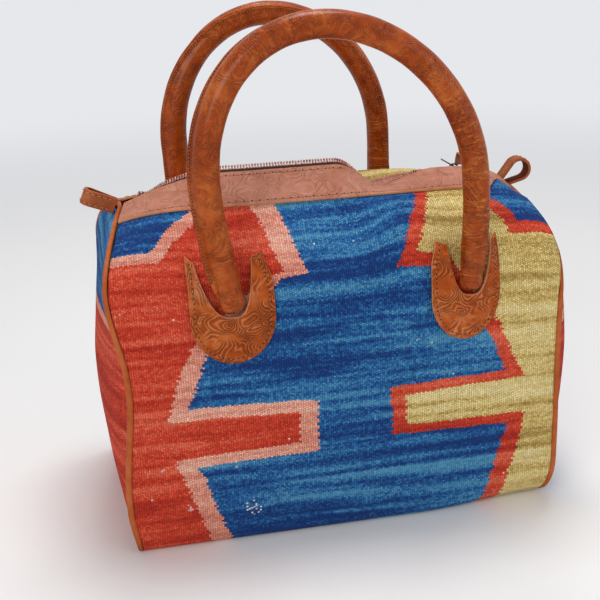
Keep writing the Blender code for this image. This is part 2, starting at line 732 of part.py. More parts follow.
def handle_line(side):
    """(x, z, share of the taper) along the middle of a handle, left to right."""
    left, right = handle_base(side, -1), handle_base(side, 1)
    base = (left.z + right.z) / 2
    middle, half, lean, rise = 0.0, HANDLE_HALF_WIDTH, FRONT_HANDLE_LEAN, FRONT_BOW_HEIGHT
    if side == BACK:
        middle, half = BACK_HANDLE_SHIFT, HANDLE_HALF_WIDTH - BACK_HANDLE_NARROW
        lean, rise = BACK_HANDLE_LEAN, BACK_BOW_HEIGHT
    legs = []
    for start, knee in ((left.x, middle - half), (right.x, middle + half)):
        leg = []
        for i in range(LEG_STEPS):
            t = (i / LEG_STEPS) ** 1.5
            leg.append((mix(start, knee, math.sin(math.pi / 2 * t)),
                        mix(base, HANDLE_SPRING_HEIGHT, t)))
        legs.append(leg)
    line = legs[0]
    for i in range(BOW_STEPS + 1):
        a = math.pi * (1 - i / BOW_STEPS)
        line.append((middle + half * math.cos(a), HANDLE_SPRING_HEIGHT + rise * math.sin(a)))
    line += legs[1][::-1]
    top = HANDLE_SPRING_HEIGHT + rise
    return [(x + lean * ((z - base) / (top - base)) ** 2, z, smooth((z - base) / HANDLE_TAPER))
            for x, z in line]


def handle_frames(side):
    """(centre, direction of the lip, direction across, width scale, depth scale, taper)."""
    line = handle_line(side)
    left, right = handle_base(side, -1), handle_base(side, 1)
    frames = []
    for i, (x, z, full) in enumerate(line):
        y = mix(left.y, right.y, (x - left.x) / (right.x - left.x))
        before, after = line[max(0, i - 1)], line[min(len(line) - 1, i + 1)]
        along = Vector((after[0] - before[0], 0, after[1] - before[1])).normalized()
        outward, inner = Vector((-along.z, 0, along.x)), Vector((0, -side, 0))
        turned = smooth((i - 0.6 * LEG_STEPS) / (0.75 * BOW_STEPS))
        turned *= smooth((z - HANDLE_SEAT_HEIGHT) / SEAM_RETURN_HEIGHT)
        turn = math.radians(SEAM_TURN) * turned
        frames.append((Vector((x, y, z)), outward * math.cos(turn) + inner * math.sin(turn),
                       inner * math.cos(turn) - outward * math.sin(turn),
                       mix(HANDLE_END_WIDTH / HANDLE_RADIUS, 1, full),
                       mix(HANDLE_END_DEPTH / HANDLE_RADIUS, 1, full), full))
    return frames


def tube_section(centre, outward, across, points):
    """Points (out, across) of a section, placed in space."""
    return [centre + outward * u + across * v for u, v in points]


def rolled_outline(wide, deep, full):
    """The section of the rolled leather: round, with its two edges turned out and sewn.

    The list goes round the outside and the stitched lip, and back round the hollow.
    """
    lip = SEAM_LIP_THICKNESS / 2 * mix(0.7, 1, full)
    slit = SEAM_SLIT / 2
    reach = HANDLE_RADIUS + mix(0.0, SEAM_LIP, full)
    outside = [(reach * wide, slit), (reach * wide, lip)]
    steps = 12
    for i in range(1, steps):
        a = 2 * math.pi * i / steps
        outside.append((HANDLE_RADIUS * wide * math.cos(a), HANDLE_RADIUS * deep * math.sin(a)))
    outside += [(reach * wide, -lip), (reach * wide, -slit)]
    hollow = [(wall_inside(wide), -slit)]
    steps = 8
    for i in range(1, steps):
        a = -2 * math.pi * i / steps
        hollow.append((wall_inside(wide) * math.cos(a), wall_inside(deep) * math.sin(a)))
    hollow.append((wall_inside(wide), slit))
    return outside, hollow


def join_rings(bm, first, second):
    """Faces between two closed rings, each quad cut along its shorter diagonal."""
    for a, b, c, d in zip(first, first[1:] + first[:1], second[1:] + second[:1], second):
        if (a.co - c.co).length <= (b.co - d.co).length:
            bm.faces.new((a, b, c))
            bm.faces.new((a, c, d))
        else:
            bm.faces.new((a, b, d))
            bm.faces.new((b, c, d))


def wall_inside(scale):
    """Half of the hollow's size where the tube is narrowed by scale."""
    return HANDLE_RADIUS * scale - HANDLE_WALL


def build_handle(name, side, bag, leather):
    """Leather rolled round a cord, its edges sewn together along the outside of the bow."""
    frames = handle_frames(side)
    bm = bmesh.new()
    rings = []
    for centre, outward, across, wide, deep, full in frames:
        outside, hollow = rolled_outline(wide, deep, full)
        rings.append([bm.verts.new(p)
                      for p in tube_section(centre, outward, across, outside + hollow)])
    outer = len(rolled_outline(1, 1, 1)[0])
    for first, second in zip(rings, rings[1:]):
        join_rings(bm, first, second)
    for ring, frame, down in ((rings[0], frames[0], -1), (rings[-1], frames[-1], 1)):
        centre, outward, across, wide, deep, full = frame
        bm.faces.new([ring[outer - 1]] + ring[outer:] + [ring[0]])
        along = Vector((outward.z, 0, -outward.x)) * down
        last = ring[:outer]
        points = rolled_outline(wide, deep, full)[0]
        for angle in (30, 60, 80):
            shrink, reach = math.cos(math.radians(angle)), math.sin(math.radians(angle))
            moved = centre + along * HANDLE_END_DEPTH * reach
            scaled = [(u * shrink, v * shrink) for u, v in points]
            ring = [bm.verts.new(p) for p in tube_section(moved, outward, across, scaled)]
            for i in range(outer):
                j = (i + 1) % outer
                bm.faces.new((last[i], last[j], ring[j], ring[i]))
            last = ring
        bm.faces.new(last)
    bmesh.ops.recalc_face_normals(bm, faces=bm.faces)
    handle = object_from_bmesh(name, bm, bag, leather)
    move_origin(handle, (handle_base(side, -1) + handle_base(side, 1)) / 2)
    return handle


def build_core(name, side, bag, cord):
    """The cord inside a rolled handle."""
    bm = bmesh.new()
    rings = []
    steps = 8
    for centre, outward, across, wide, deep, _ in handle_frames(side):
        points = []
        for i in range(steps):
            a = 2 * math.pi * i / steps
            points.append(((wall_inside(wide) - CORE_EASE) * math.cos(a),
                           (wall_inside(deep) - CORE_EASE) * math.sin(a)))
        rings.append([bm.verts.new(p) for p in tube_section(centre, outward, across, points)])
    rings = rings[1:-1]
    for first, second in zip(rings, rings[1:]):
        join_rings(bm, first, second)
    bm.faces.new(rings[0])
    bm.faces.new(rings[-1])
    bmesh.ops.delete(bm, geom=[v for v in bm.verts if not v.link_faces], context="VERTS")
    bmesh.ops.recalc_face_normals(bm, faces=bm.faces)
    core = object_from_bmesh(name, bm, bag, cord)
    move_origin(core, (handle_base(side, -1) + handle_base(side, 1)) / 2)
    return core


def patch_edges(t, end, half, offset):
    """(outer edge, notch edge) of a patch as offsets from the handle's end and heights.

    t runs from the tip of the horn on the outer side of the bag, round the bottom, to the other.
    """
    straight = PATCH_TOP - PATCH_BOTTOM - PATCH_ROUND
    round_length = math.pi / 2 * (half + PATCH_ROUND)
    along = t * (2 * straight + round_length)
    if along < straight:
        outer = (half, PATCH_TOP - along)
    elif along < straight + round_length:
        a = math.pi * (along - straight) / round_length
        outer = (half * math.cos(a),
                 PATCH_BOTTOM + PATCH_ROUND - PATCH_ROUND * math.sin(a))
    else:
        outer = (-half, PATCH_BOTTOM + PATCH_ROUND + along - straight - round_length)
    s = 1 - 2 * t
    reach = half - OUTER_HORN - offset if s > 0 else half - INNER_HORN + offset
    bottom = HANDLE_SEAT_HEIGHT - NOTCH_DROP
    notch = (reach * s, bottom + (PATCH_TOP - HORN_SLANT - bottom) * abs(s) ** 3)
    return (end * (outer[0] - offset), outer[1]), (end * notch[0], notch[1])


def build_patch(name, side, end, bag, leather):
    """A horseshoe of leather sewn over the cloth, standing off it round the handle's end."""
    steps, across = 20, 3
    middle = handle_base(side, end).x
    half = PATCH_HALF_WIDTH if end < 0 else RIGHT_PATCH_HALF_WIDTH
    offset = NOTCH_OFFSET if side == FRONT and end > 0 else 0.0
    rows = []
    for i in range(steps + 1):
        t = i / steps
        outer, notch = patch_edges(t, end, half, offset)
        row = []
        for j in range(across + 1):
            s = j / across
            lift = NOTCH_LIFT * s * s * (0.25 + 0.75 * math.sin(math.pi * t) ** 2)
            row.append(surface_point(middle + mix(outer[0], notch[0], s), mix(outer[1], notch[1], s),
                                     side, PATCH_STAND + lift))
        rows.append(row)
    patch = object_from_bmesh(name, grid_bmesh(rows, flip=side * end > 0), bag, leather)
    return solidify(patch, PATCH_THICKNESS, outward=True)


def build_loop(name, length, opening, bag, leather):
    """A folded strap whose ends are sewn into the end seam."""
    outer, inner = opening / 2 + LOOP_STRAP_THICKNESS, opening / 2
    far = length - outer
    outside = [(0, -LOOP_STRAP_THICKNESS)]
    inside = [(LOOP_STRAP_THICKNESS * 2, 0)]
    for i in range(13):
        a = math.radians(mix(-105, 105, i / 12))
        outside.append((far + outer * math.cos(a), outer * math.sin(a)))
        inside.append((far + inner * math.cos(a), inner * math.sin(a)))
    outside.append((0, LOOP_STRAP_THICKNESS))
    return flat_outline(name, [outside, inside], LOOP_STRAP_WIDTH, bag, leather)


def build_loops(bag, leather):
    seam = PIPING_RADIUS + GAP + LOOP_SEAT
    rise = BAND_WIDTH * math.sin(math.radians(END_LEAN))
    left = build_loop("left_loop", LEFT_LOOP_LENGTH, LEFT_LOOP_OPENING, bag, leather)
    left.rotation_euler = (0, math.radians(-LEFT_LOOP_RISE), math.pi)
    placed(left, Vector((-half_length(BAND_HEIGHT, -1) - seam, -LEFT_LOOP_OFFSET,
                         BAND_HEIGHT - BAND_END_DROP + rise + LEFT_LOOP_LIFT)))
    right = build_loop("right_loop", RIGHT_LOOP_LENGTH, RIGHT_LOOP_OPENING, bag, leather)
    right.rotation_euler = (math.pi / 2, math.radians(-RIGHT_LOOP_RISE), 0)
    placed(right, Vector((half_length(BAND_HEIGHT, 1) + seam, 0,
                          BAND_HEIGHT - BAND_END_DROP_RIGHT + rise + RIGHT_LOOP_LIFT)))


def main():
    clear_scene()
    bag = make_collection("satchel_handbag")
    cutters = make_collection("joined_shapes")
    cloth = material("rug_cloth", (0.10, 0.20, 0.38), 0.95)
    tan = material("tan_leather", (0.55, 0.24, 0.10), 0.50)
    brown = material("brown_leather", (0.42, 0.15, 0.04), 0.42)
    cotton = material("lining_cotton", (0.55, 0.45, 0.32), 0.9)
    cord = material("cotton_cord", (0.7, 0.66, 0.58), 0.9)
    weave = material("zip_tape", (0.08, 0.03, 0.02), 0.9)
    metal = material("zip_metal", (0.30, 0.18, 0.14), 0.35, 1.0)

    build_body_panel(bag, cloth)
    for name, end in (("left", -1), ("right", 1)):
        build_gusset(f"{name}_gusset", end, bag, cloth)
        build_piping(f"{name}_piping", end, bag, tan)
    build_lining(bag, cotton)
    build_loops(bag, tan)
    for name, side in (("front", FRONT), ("back", BACK)):
        build_band(f"{name}_band", side, bag, tan)
        build_tape(f"{name}_zip_tape", side, bag, weave)
        build_chain(f"{name}_zip_teeth", side, bag, metal)
        build_handle(f"{name}_handle", side, bag, brown)
        build_core(f"{name}_handle_core", side, bag, cord)
        for place, end in (("left", -1), ("right", 1)):
            build_patch(f"{name}_{place}_patch", side, end, bag, brown)
    build_slider(bag, cutters, metal)
    build_pull(bag, metal)
    build_hood(bag, tan)


main()
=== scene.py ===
import math

import bmesh
import bpy
import numpy as np
from mathutils import Euler, Matrix, Vector


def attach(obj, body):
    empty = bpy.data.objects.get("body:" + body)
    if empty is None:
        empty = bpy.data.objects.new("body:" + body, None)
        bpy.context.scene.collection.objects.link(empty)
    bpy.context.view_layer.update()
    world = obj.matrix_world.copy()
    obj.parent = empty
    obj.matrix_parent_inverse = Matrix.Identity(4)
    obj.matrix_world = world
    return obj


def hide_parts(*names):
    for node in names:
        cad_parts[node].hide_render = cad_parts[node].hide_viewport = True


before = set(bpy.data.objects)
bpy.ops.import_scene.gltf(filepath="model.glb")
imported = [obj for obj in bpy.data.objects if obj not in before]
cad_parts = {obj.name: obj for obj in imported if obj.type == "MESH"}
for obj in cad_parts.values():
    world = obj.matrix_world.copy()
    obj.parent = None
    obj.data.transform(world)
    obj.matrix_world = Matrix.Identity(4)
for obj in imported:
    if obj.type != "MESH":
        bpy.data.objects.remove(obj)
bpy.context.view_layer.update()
mm = 0.001
front, back = -1, 1
print("frame loaded")


# Small helpers

def rgb(red, green, blue):  # screen colour, 0 to 255, to the light values that Blender takes
    def light(c):
        c /= 255
        return c / 12.92 if c <= 0.04045 else ((c + 0.055) / 1.055) ** 2.4
    return (light(red), light(green), light(blue), 1.0)


def mix(a, b, t):
    return a + (b - a) * t


def smooth(t):
    t = min(1.0, max(0.0, t))
    return t * t * (3 - 2 * t)


def hump(t):
    return 1 - smooth(abs(t))


def stepsAcross(columns, reach=1.0):  # steps from the left end, -1, to the right end, 1
    return [mix(-reach, reach, i / columns) for i in range(columns + 1)]


def runs(points):  # length of the line from its start to each point
    found = [0.0]
    for a, b in zip(points, points[1:]):
        found.append(found[-1] + (b - a).length)
    return found


def ringAround(count):  # (cosine, sine, angle) of evenly spaced places on a circle
    return [(math.cos(a), math.sin(a), a) for a in (2 * math.pi * k / count for k in range(count))]


def bezier(p0, p1, p2, p3, t):
    s = 1 - t
    return tuple(s**3 * a + 3 * s * s * t * b + 3 * s * t * t * c + t**3 * d
                 for a, b, c, d in zip(p0, p1, p2, p3))


def addMesh(name, points, faces, uv=None):
    mesh = bpy.data.meshes.new(name)
    mesh.from_pydata([tuple(p) for p in points], [], faces)
    if uv is not None:
        layer = mesh.uv_layers.new(name="cloth")
        corner = np.empty(len(mesh.loops), np.int32)
        mesh.loops.foreach_get("vertex_index", corner)
        layer.uv.foreach_set("vector", np.asarray(uv, np.float32)[corner].ravel())
    mesh.shade_smooth()
    obj = bpy.data.objects.new(name, mesh)
    bpy.context.scene.collection.objects.link(obj)
    return obj


def stripFaces(start, count, width, closed=True):  # faces between rows of points
    return [(r + j, r + (j + 1) % width, r + width + (j + 1) % width, r + width + j)
            for r in range(start, start + (count - 1) * width, width)
            for j in range(width if closed else width - 1)]


def gridMesh(name, rows, flip=False, closed=False):  # rows of (point, place on the cloth)
    faces = stripFaces(0, len(rows), len(rows[0]), closed)
    if flip:
        faces = [quad[::-1] for quad in faces]
    cells = [cell for row in rows for cell in row]
    return addMesh(name, [p for p, _ in cells], faces, [place for _, place in cells])


def thicken(obj, thickness, offset=-1.0, rim=None, outer=0):
    shell = obj.modifiers.new("thickness", "SOLIDIFY")
    shell.material_offset = outer
    shell.thickness = thickness
    shell.offset = offset
    if rim is not None:
        shell.material_offset_rim = rim


def roundEdges(obj, width, segments=2, angle=35):
    edge = obj.modifiers.new("roundEdges", "BEVEL")
    edge.width = width
    edge.segments = segments
    edge.limit_method = "ANGLE"
    edge.angle_limit = math.radians(angle)
    edge.harden_normals = False


def finishPiece(obj, body, looks, nodes=()):
    for look in looks if isinstance(looks, (list, tuple)) else [looks]:
        obj.data.materials.append(look)
    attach(obj, body)
    if nodes:
        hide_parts(*nodes)


def repaint(nodeName, look):  # a solid that is shown as it is
    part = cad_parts[nodeName]
    part.data.materials.clear()
    part.data.materials.append(look)
    return part


# Shader maths: a socket that takes Python's operators

class Wire:
    def __init__(self, look, socket):
        self.look = look
        self.socket = socket

    def calc(self, operation, *others):
        return self.look.node("Math", {"operation": operation}, (self, *others))

    def out(self, name):
        return Wire(self.look, self.socket.node.outputs[name])

    def __add__(self, other):
        return self.calc("ADD", other)

    __radd__ = __add__

    def __sub__(self, other):
        return self.calc("SUBTRACT", other)

    def __rsub__(self, other):
        return self.look.node("Math", {"operation": "SUBTRACT"}, (other, self))

    def __mul__(self, other):
        return self.calc("MULTIPLY", other)

    __rmul__ = __mul__

    def __truediv__(self, other):
        return self.calc("DIVIDE", other)

    def __rtruediv__(self, other):
        return self.look.node("Math", {"operation": "DIVIDE"}, (other, self))

    def __pow__(self, other):
        return self.calc("POWER", other)

    def __lt__(self, other):
        return self.calc("LESS_THAN", other)

    def __gt__(self, other):
        return self.calc("GREATER_THAN", other)

    def __abs__(self):
        return self.calc("ABSOLUTE")

    def floor(self):
        return self.calc("FLOOR")

    def fract(self):
        return self.calc("FRACT")

    def sine(self):
        return self.calc("SINE")

    def ease(self, low, high):  # 0 at low, 1 at high, smooth between
        return self.look.node("MapRange", {"interpolation_type": "SMOOTHSTEP"},
                              {"Value": self, "From Min": low, "From Max": high})


class Look:  # one material and its nodes
    def __init__(self, name, roughness=0.5, metallic=0.0, **fixed):
        self.material = bpy.data.materials.new(name)
        self.material.use_nodes = True
        self.tree = self.material.node_tree
        self.shader = self.tree.nodes["Principled BSDF"]
        self.shader.inputs["Roughness"].default_value = roughness
        self.shader.inputs["Metallic"].default_value = metallic
        for key, value in fixed.items():
            self.shader.inputs[key.replace("_", " ")].default_value = value

    def node(self, kind, settings=None, inputs=(), output=0):
        made = self.tree.nodes.new("ShaderNode" + kind)
        for key, value in (settings or {}).items():
            if key == "stops":
                ramp = made.color_ramp.elements
                while len(ramp) < len(value):
                    ramp.new(0.5)
                for stop, (place, colour) in zip(ramp, value):
                    stop.position = place
                    stop.color = colour
            elif key == "line":
                curve = made.mapping.curves[0]
                while len(curve.points) < len(value):
                    curve.points.new(0.5, 0.5)
                for point, place in zip(curve.points, value):
                    point.location = place
                    point.handle_type = "VECTOR"
                made.mapping.update()
            else:
                setattr(made, key, value)
        for key, value in inputs.items() if isinstance(inputs, dict) else enumerate(inputs):
            if isinstance(value, Wire):
                self.tree.links.new(value.socket, made.inputs[key])
            else:
                made.inputs[key].default_value = value
        return Wire(self, made.outputs[output])

    def mixed(self, share, under, over, blend="MIX"):
        return self.node("Mix", {"data_type": "RGBA", "blend_type": blend},
                         {0: share, 6: under, 7: over}, 2)

    def place(self):  # place on the cloth, in metres
        split = self.node("SeparateXYZ", {}, (self.node("UVMap", {"uv_map": "cloth"}),))
        return split, split.out("Y")

    def solid(self):  # place in space, in metres
        spot = self.node("TexCoord", {}, (), 3)
        split = self.node("SeparateXYZ", {}, (spot,))
        return split, split.out("Y"), split.out("Z")

    def vector(self, x, y, z=0.0):
        return self.node("CombineXYZ", {}, (x, y, z))

    def noise(self, vector, scale=1.0, detail=2.0, rough=0.5, twist=0.0):
        return self.node("TexNoise", {}, {"Vector": vector, "Scale": scale, "Detail": detail,
                                          "Roughness": rough, "Distortion": twist})

    def feed(self, name, value):
        self.tree.links.new(value.socket, self.shader.inputs[name])

    def bump(self, height, depth, under=None):
        sockets = {"Height": height, "Strength": 1.0, "Distance": depth}
        if under is not None:
            sockets["Normal"] = under
        return self.node("Bump", {}, sockets)


# The shape of the bag, from the same sizes as the solids

shape = {
    "length": 0.358, "depth": 0.200, "bulge": 0.004, "shoulder": 0.186,
    "corner": 0.010, "cornerRight": 0.018, "basePinch": 0.005, "cloth": 0.003,
    "swellHeight": 0.222, "swellSpan": 0.070, "waistHeight": 0.138, "waistSpan": 0.085,
    "ends": {  # the two end seams: swell under the crown, waist, rounded top, fall of the bands
        -1: {"half": 0.1808, "swell": 0.0042, "waist": 0.0070, "top": 0.036, "rise": 0.006,
             "round": 0.060, "drop": 0.010, "lean": 15.0},
        1: {"half": 0.1772, "swell": 0.0, "waist": 0.0010, "top": 0.024, "rise": -0.0045,
            "round": 0.0395, "drop": 0.0215, "lean": 21.0}},
    "bandWidth": 0.031, "bandHeight": 0.2690, "bandReach": 0.052, "bandReachEnd": 0.0362,
    "backReach": 0.0434,
    "backSlump": 0.014, "crestRise": 0.006, "endLean": 15.0, "frontLean": 47.0,
    "dipLean": -1.0, "rightLean": 21.0, "backLean": -38.0, "dipPlace": 0.050,
    "leftRise": 0.080, "dipWidth": 0.045, "piping": 0.0022, "gap": 0.0003,
    "archLength": 0.103,  # nominal length of cloth from the band to the shoulder
}


def halfLength(z, end):
    s, e = shape, shape["ends"][1 if end > 0 else -1]
    z = min(z, s["bandHeight"] - e["drop"] + s["bandWidth"] * math.sin(math.radians(e["lean"])))
    inward = max(0.0, 1 - (s["bandHeight"] + e["rise"] - z) / e["round"])
    taper = 1 - math.sqrt(max(0.0, 1 - inward ** 2))
    base = s["basePinch"] * (1 - smooth(z / (4 * s["corner"])))
    swell = e["swell"] * hump((z - s["swellHeight"]) / s["swellSpan"])
    waist = e["waist"] * hump((z - s["waistHeight"]) / s["waistSpan"])
    return e["half"] + swell - e["top"] * taper - base - waist


def bandLean(share, side):
    s = shape
    if side == back:
        return mix(s["endLean"], s["backLean"], smooth((1 - abs(share)) / 0.8))
    x = share * halfLength(s["bandHeight"], share)
    left = smooth((x + halfLength(s["bandHeight"], -1)) / s["leftRise"])
    lean = mix(s["endLean"], s["frontLean"], left)
    lean = mix(lean, s["dipLean"], smooth((x - s["dipPlace"]) / s["dipWidth"] + 1))
    return mix(lean, s["rightLean"], smooth((x - s["dipPlace"]) / s["dipWidth"]))


def bandFoot(share, side):
    s = shape
    reach = mix(s["backReach"] if side == back else s["bandReach"], s["bandReachEnd"],
                abs(share) ** 4)
    height = s["bandHeight"] - s["ends"][1 if share > 0 else -1]["drop"] * abs(share) ** 8
    if side == back:
        x = share * halfLength(s["bandHeight"], share)
        rise = s["crestRise"] * hump((x - 2 * s["dipPlace"]) / (2 * s["dipWidth"]))
        height -= (s["backSlump"] - rise) * (1 - abs(share) ** 2.5)
    return side * reach, height


# One half of the section: (y, z, place), where place is the length of cloth below the band.
# Places above 0 on the band itself are negative.
def halfSection(share, side, above=(), arch=24, face=34, bend=6, base=8):
    s = shape
    foot = bandFoot(share, side)
    lean = math.radians(bandLean(share, side))
    inward = (-side * math.cos(lean), math.sin(lean))
    line = [(foot[0] + inward[0] * a, foot[1] + inward[1] * a, -a) for a in above]
    swell = s["bulge"] * (1 - share * share)
    depth = s["depth"] / 2
    shoulder = (side * (depth + swell * 0.6), s["shoulder"])
    pull = 0.45 * math.hypot(shoulder[0] - foot[0], foot[1] - shoulder[1])
    for i in range(arch):
        t = i / arch
        y, z = bezier(foot, (foot[0] - inward[0] * pull, foot[1] - inward[1] * pull),
                      (shoulder[0], shoulder[1] + pull), shoulder, t)
        line.append((y, z, t * s["archLength"]))
    corner = s["corner"]
    if side == front:
        corner += s["cornerRight"] * smooth((share - 0.35) / 0.65)
    for i in range(face):
        t = i / face
        z = mix(s["shoulder"], corner, t)
        y = side * (depth + swell * (0.6 + 0.4 * math.sin(math.pi * t) - 0.6 * t))
        line.append((y, z, s["archLength"] + s["shoulder"] - z))
    below = s["archLength"] + s["shoulder"] - corner
    for i in range(bend + 1):
        a = math.pi / 2 * i / bend
        line.append((side * (depth - corner * (1 - math.cos(a))), corner * (1 - math.sin(a)),
                     below + corner * a))
    below += corner * math.pi / 2
    for i in range(1, base):
        t = i / base
        line.append((side * mix(depth - corner, 0, t), 0.0, below + (depth - corner) * t))
    return line


clothHalf = shape["archLength"] + shape["shoulder"] + shape["depth"] / 2 \
    + shape["corner"] * (math.pi / 2 - 2)  # band to the middle of the base
clothWhole = 2 * clothHalf


def wholeSection(share, above=()):
    first = halfSection(share, front, above)
    second = halfSection(share, back, above)
    return first + [(0.0, 0.0, clothHalf)] + [(y, z, clothWhole - v) for y, z, v in second[::-1]]


def sectionNormals(line, side=1):  # pointing inwards for a line that runs front, base, back
    found = []
    for i in range(len(line)):
        a, b = line[max(0, i - 1)], line[min(len(line) - 1, i + 1)]
        dy, dz = b[0] - a[0], b[1] - a[1]
        size = math.hypot(dy, dz) or 1.0
        found.append((-dz / size * side, dy / size * side))
    return found


faceTable = {}
for side in (front, back):
    shares = np.linspace(-1, 1, 161)
    lines = [np.array(halfSection(s, side, (shape["bandWidth"], 0.015)))[:70] for s in shares]
    faceTable[side] = (shares, lines)


def facePoint(x, z, side, outward=0.0):  # a point of the front or back at (x, z)
    share = max(-1.0, min(1.0, x / halfLength(z, x)))
    shares, lines = faceTable[side]
    at = (share + 1) / 2 * (len(shares) - 1)
    i = min(int(at), len(shares) - 2)
    y, slope = 0.0, 0.0
    for k, w in ((i, 1 - at + i), (i + 1, at - i)):
        line = lines[k][2:]
        order = np.argsort(line[:, 1])
        zs, ys = line[order, 1], line[order, 0]
        y += w * np.interp(z, zs, ys)
        slope += w * (np.interp(z + mm, zs, ys) - np.interp(z - mm, zs, ys)) / (2 * mm)
    size = math.hypot(1, slope)
    return Vector((x, y + side / size * outward, z - side * slope / size * outward))


# Woven rug cloth. Each line is an edge between two colours, as points (mm below the band,
# mm from mid length). rubbed is a worn place, from the left of the cloth and below the band.

rug = {
    "bead": 0.00150, "warp": 0.00185,
    "leftBlue": [(0, -113), (11, -130), (36, -149), (38, -151), (38.4, -200)],
    "leftCorner": [(0, -98), (15, -118), (30, -133), (48, -144), (48.4, -200)],
    "leftRed": [(0, -67), (18, -59), (39, -55), (61, -48), (61.4, -58), (113, -123), (139, -135),
                (161, -142), (176, -146), (176.4, -41), (206, -41.5), (206.4, -145), (217, -140),
                (239, -133), (277, -120), (385, -86)],
    "leftSalmon": [(0, -47), (26, -39), (48, -34), (65, -29), (65.4, -50), (123, -114), (143, -120),
                   (160, -128), (166, -130), (166.4, -28), (215, -27), (215.4, -128), (228, -120),
                   (251, -114), (282, -102), (385, -70)],
    "rightRed": [(0, 68), (10, 65), (40, 52), (58, 46), (72, 38), (72.4, 72), (122, 112),
                 (135, 119), (163, 130), (163.4, 32), (208, 35), (208.4, 135), (225, 129),
                 (251, 122), (282, 113), (385, 84)],
    "rightYellow": [(0, 79), (22, 70), (47, 62), (63, 56), (63.4, 80), (120, 124), (128, 127),
                    (144, 134), (160, 143), (171, 147), (171.4, 44), (200, 46), (200.4, 149),
                    (237, 143), (256, 136), (290, 128), (385, 100)],
    "cornerRed": [(0, 116), (25, 127), (35, 134), (49, 136), (49.4, 200)],
    "cornerBlue": [(0, 122), (11, 133), (21, 143), (36, 147), (36.4, 200)],
    "navy": rgb(22, 56, 118), "blue": rgb(40, 104, 164), "teal": rgb(84, 150, 186),
    "red": rgb(212, 70, 46), "redPale": rgb(232, 116, 88), "redDark": rgb(170, 42, 30),
    "salmonDark": rgb(206, 118, 98), "salmon": rgb(228, 152, 130), "salmonPale": rgb(242, 186, 164),
    "endBands": {  # heights above which each band of the end panels begins
        -1: [(0.0, "red"), (0.190, "salmon"), (0.200, "blue")],
        1: [(0.068, "red"), (0.075, "red"), (0.160, "salmon"), (0.170, "red")]},
    "yellow": rgb(218, 190, 116), "yellowPale": rgb(234, 216, 156), "olive": rgb(168, 136, 74),
    "backShift": 0.036, "backScale": 0.80, "rubbed": (0.116, 0.258), "rubbedSize": (0.012, 0.009),
    "rubbedWhite": rgb(226, 224, 218),
    "streaks": 1.35, "bands": 0.55, "patches": 0.16, "perBead": 0.22, "darker": 0.53,  # the dyes
}


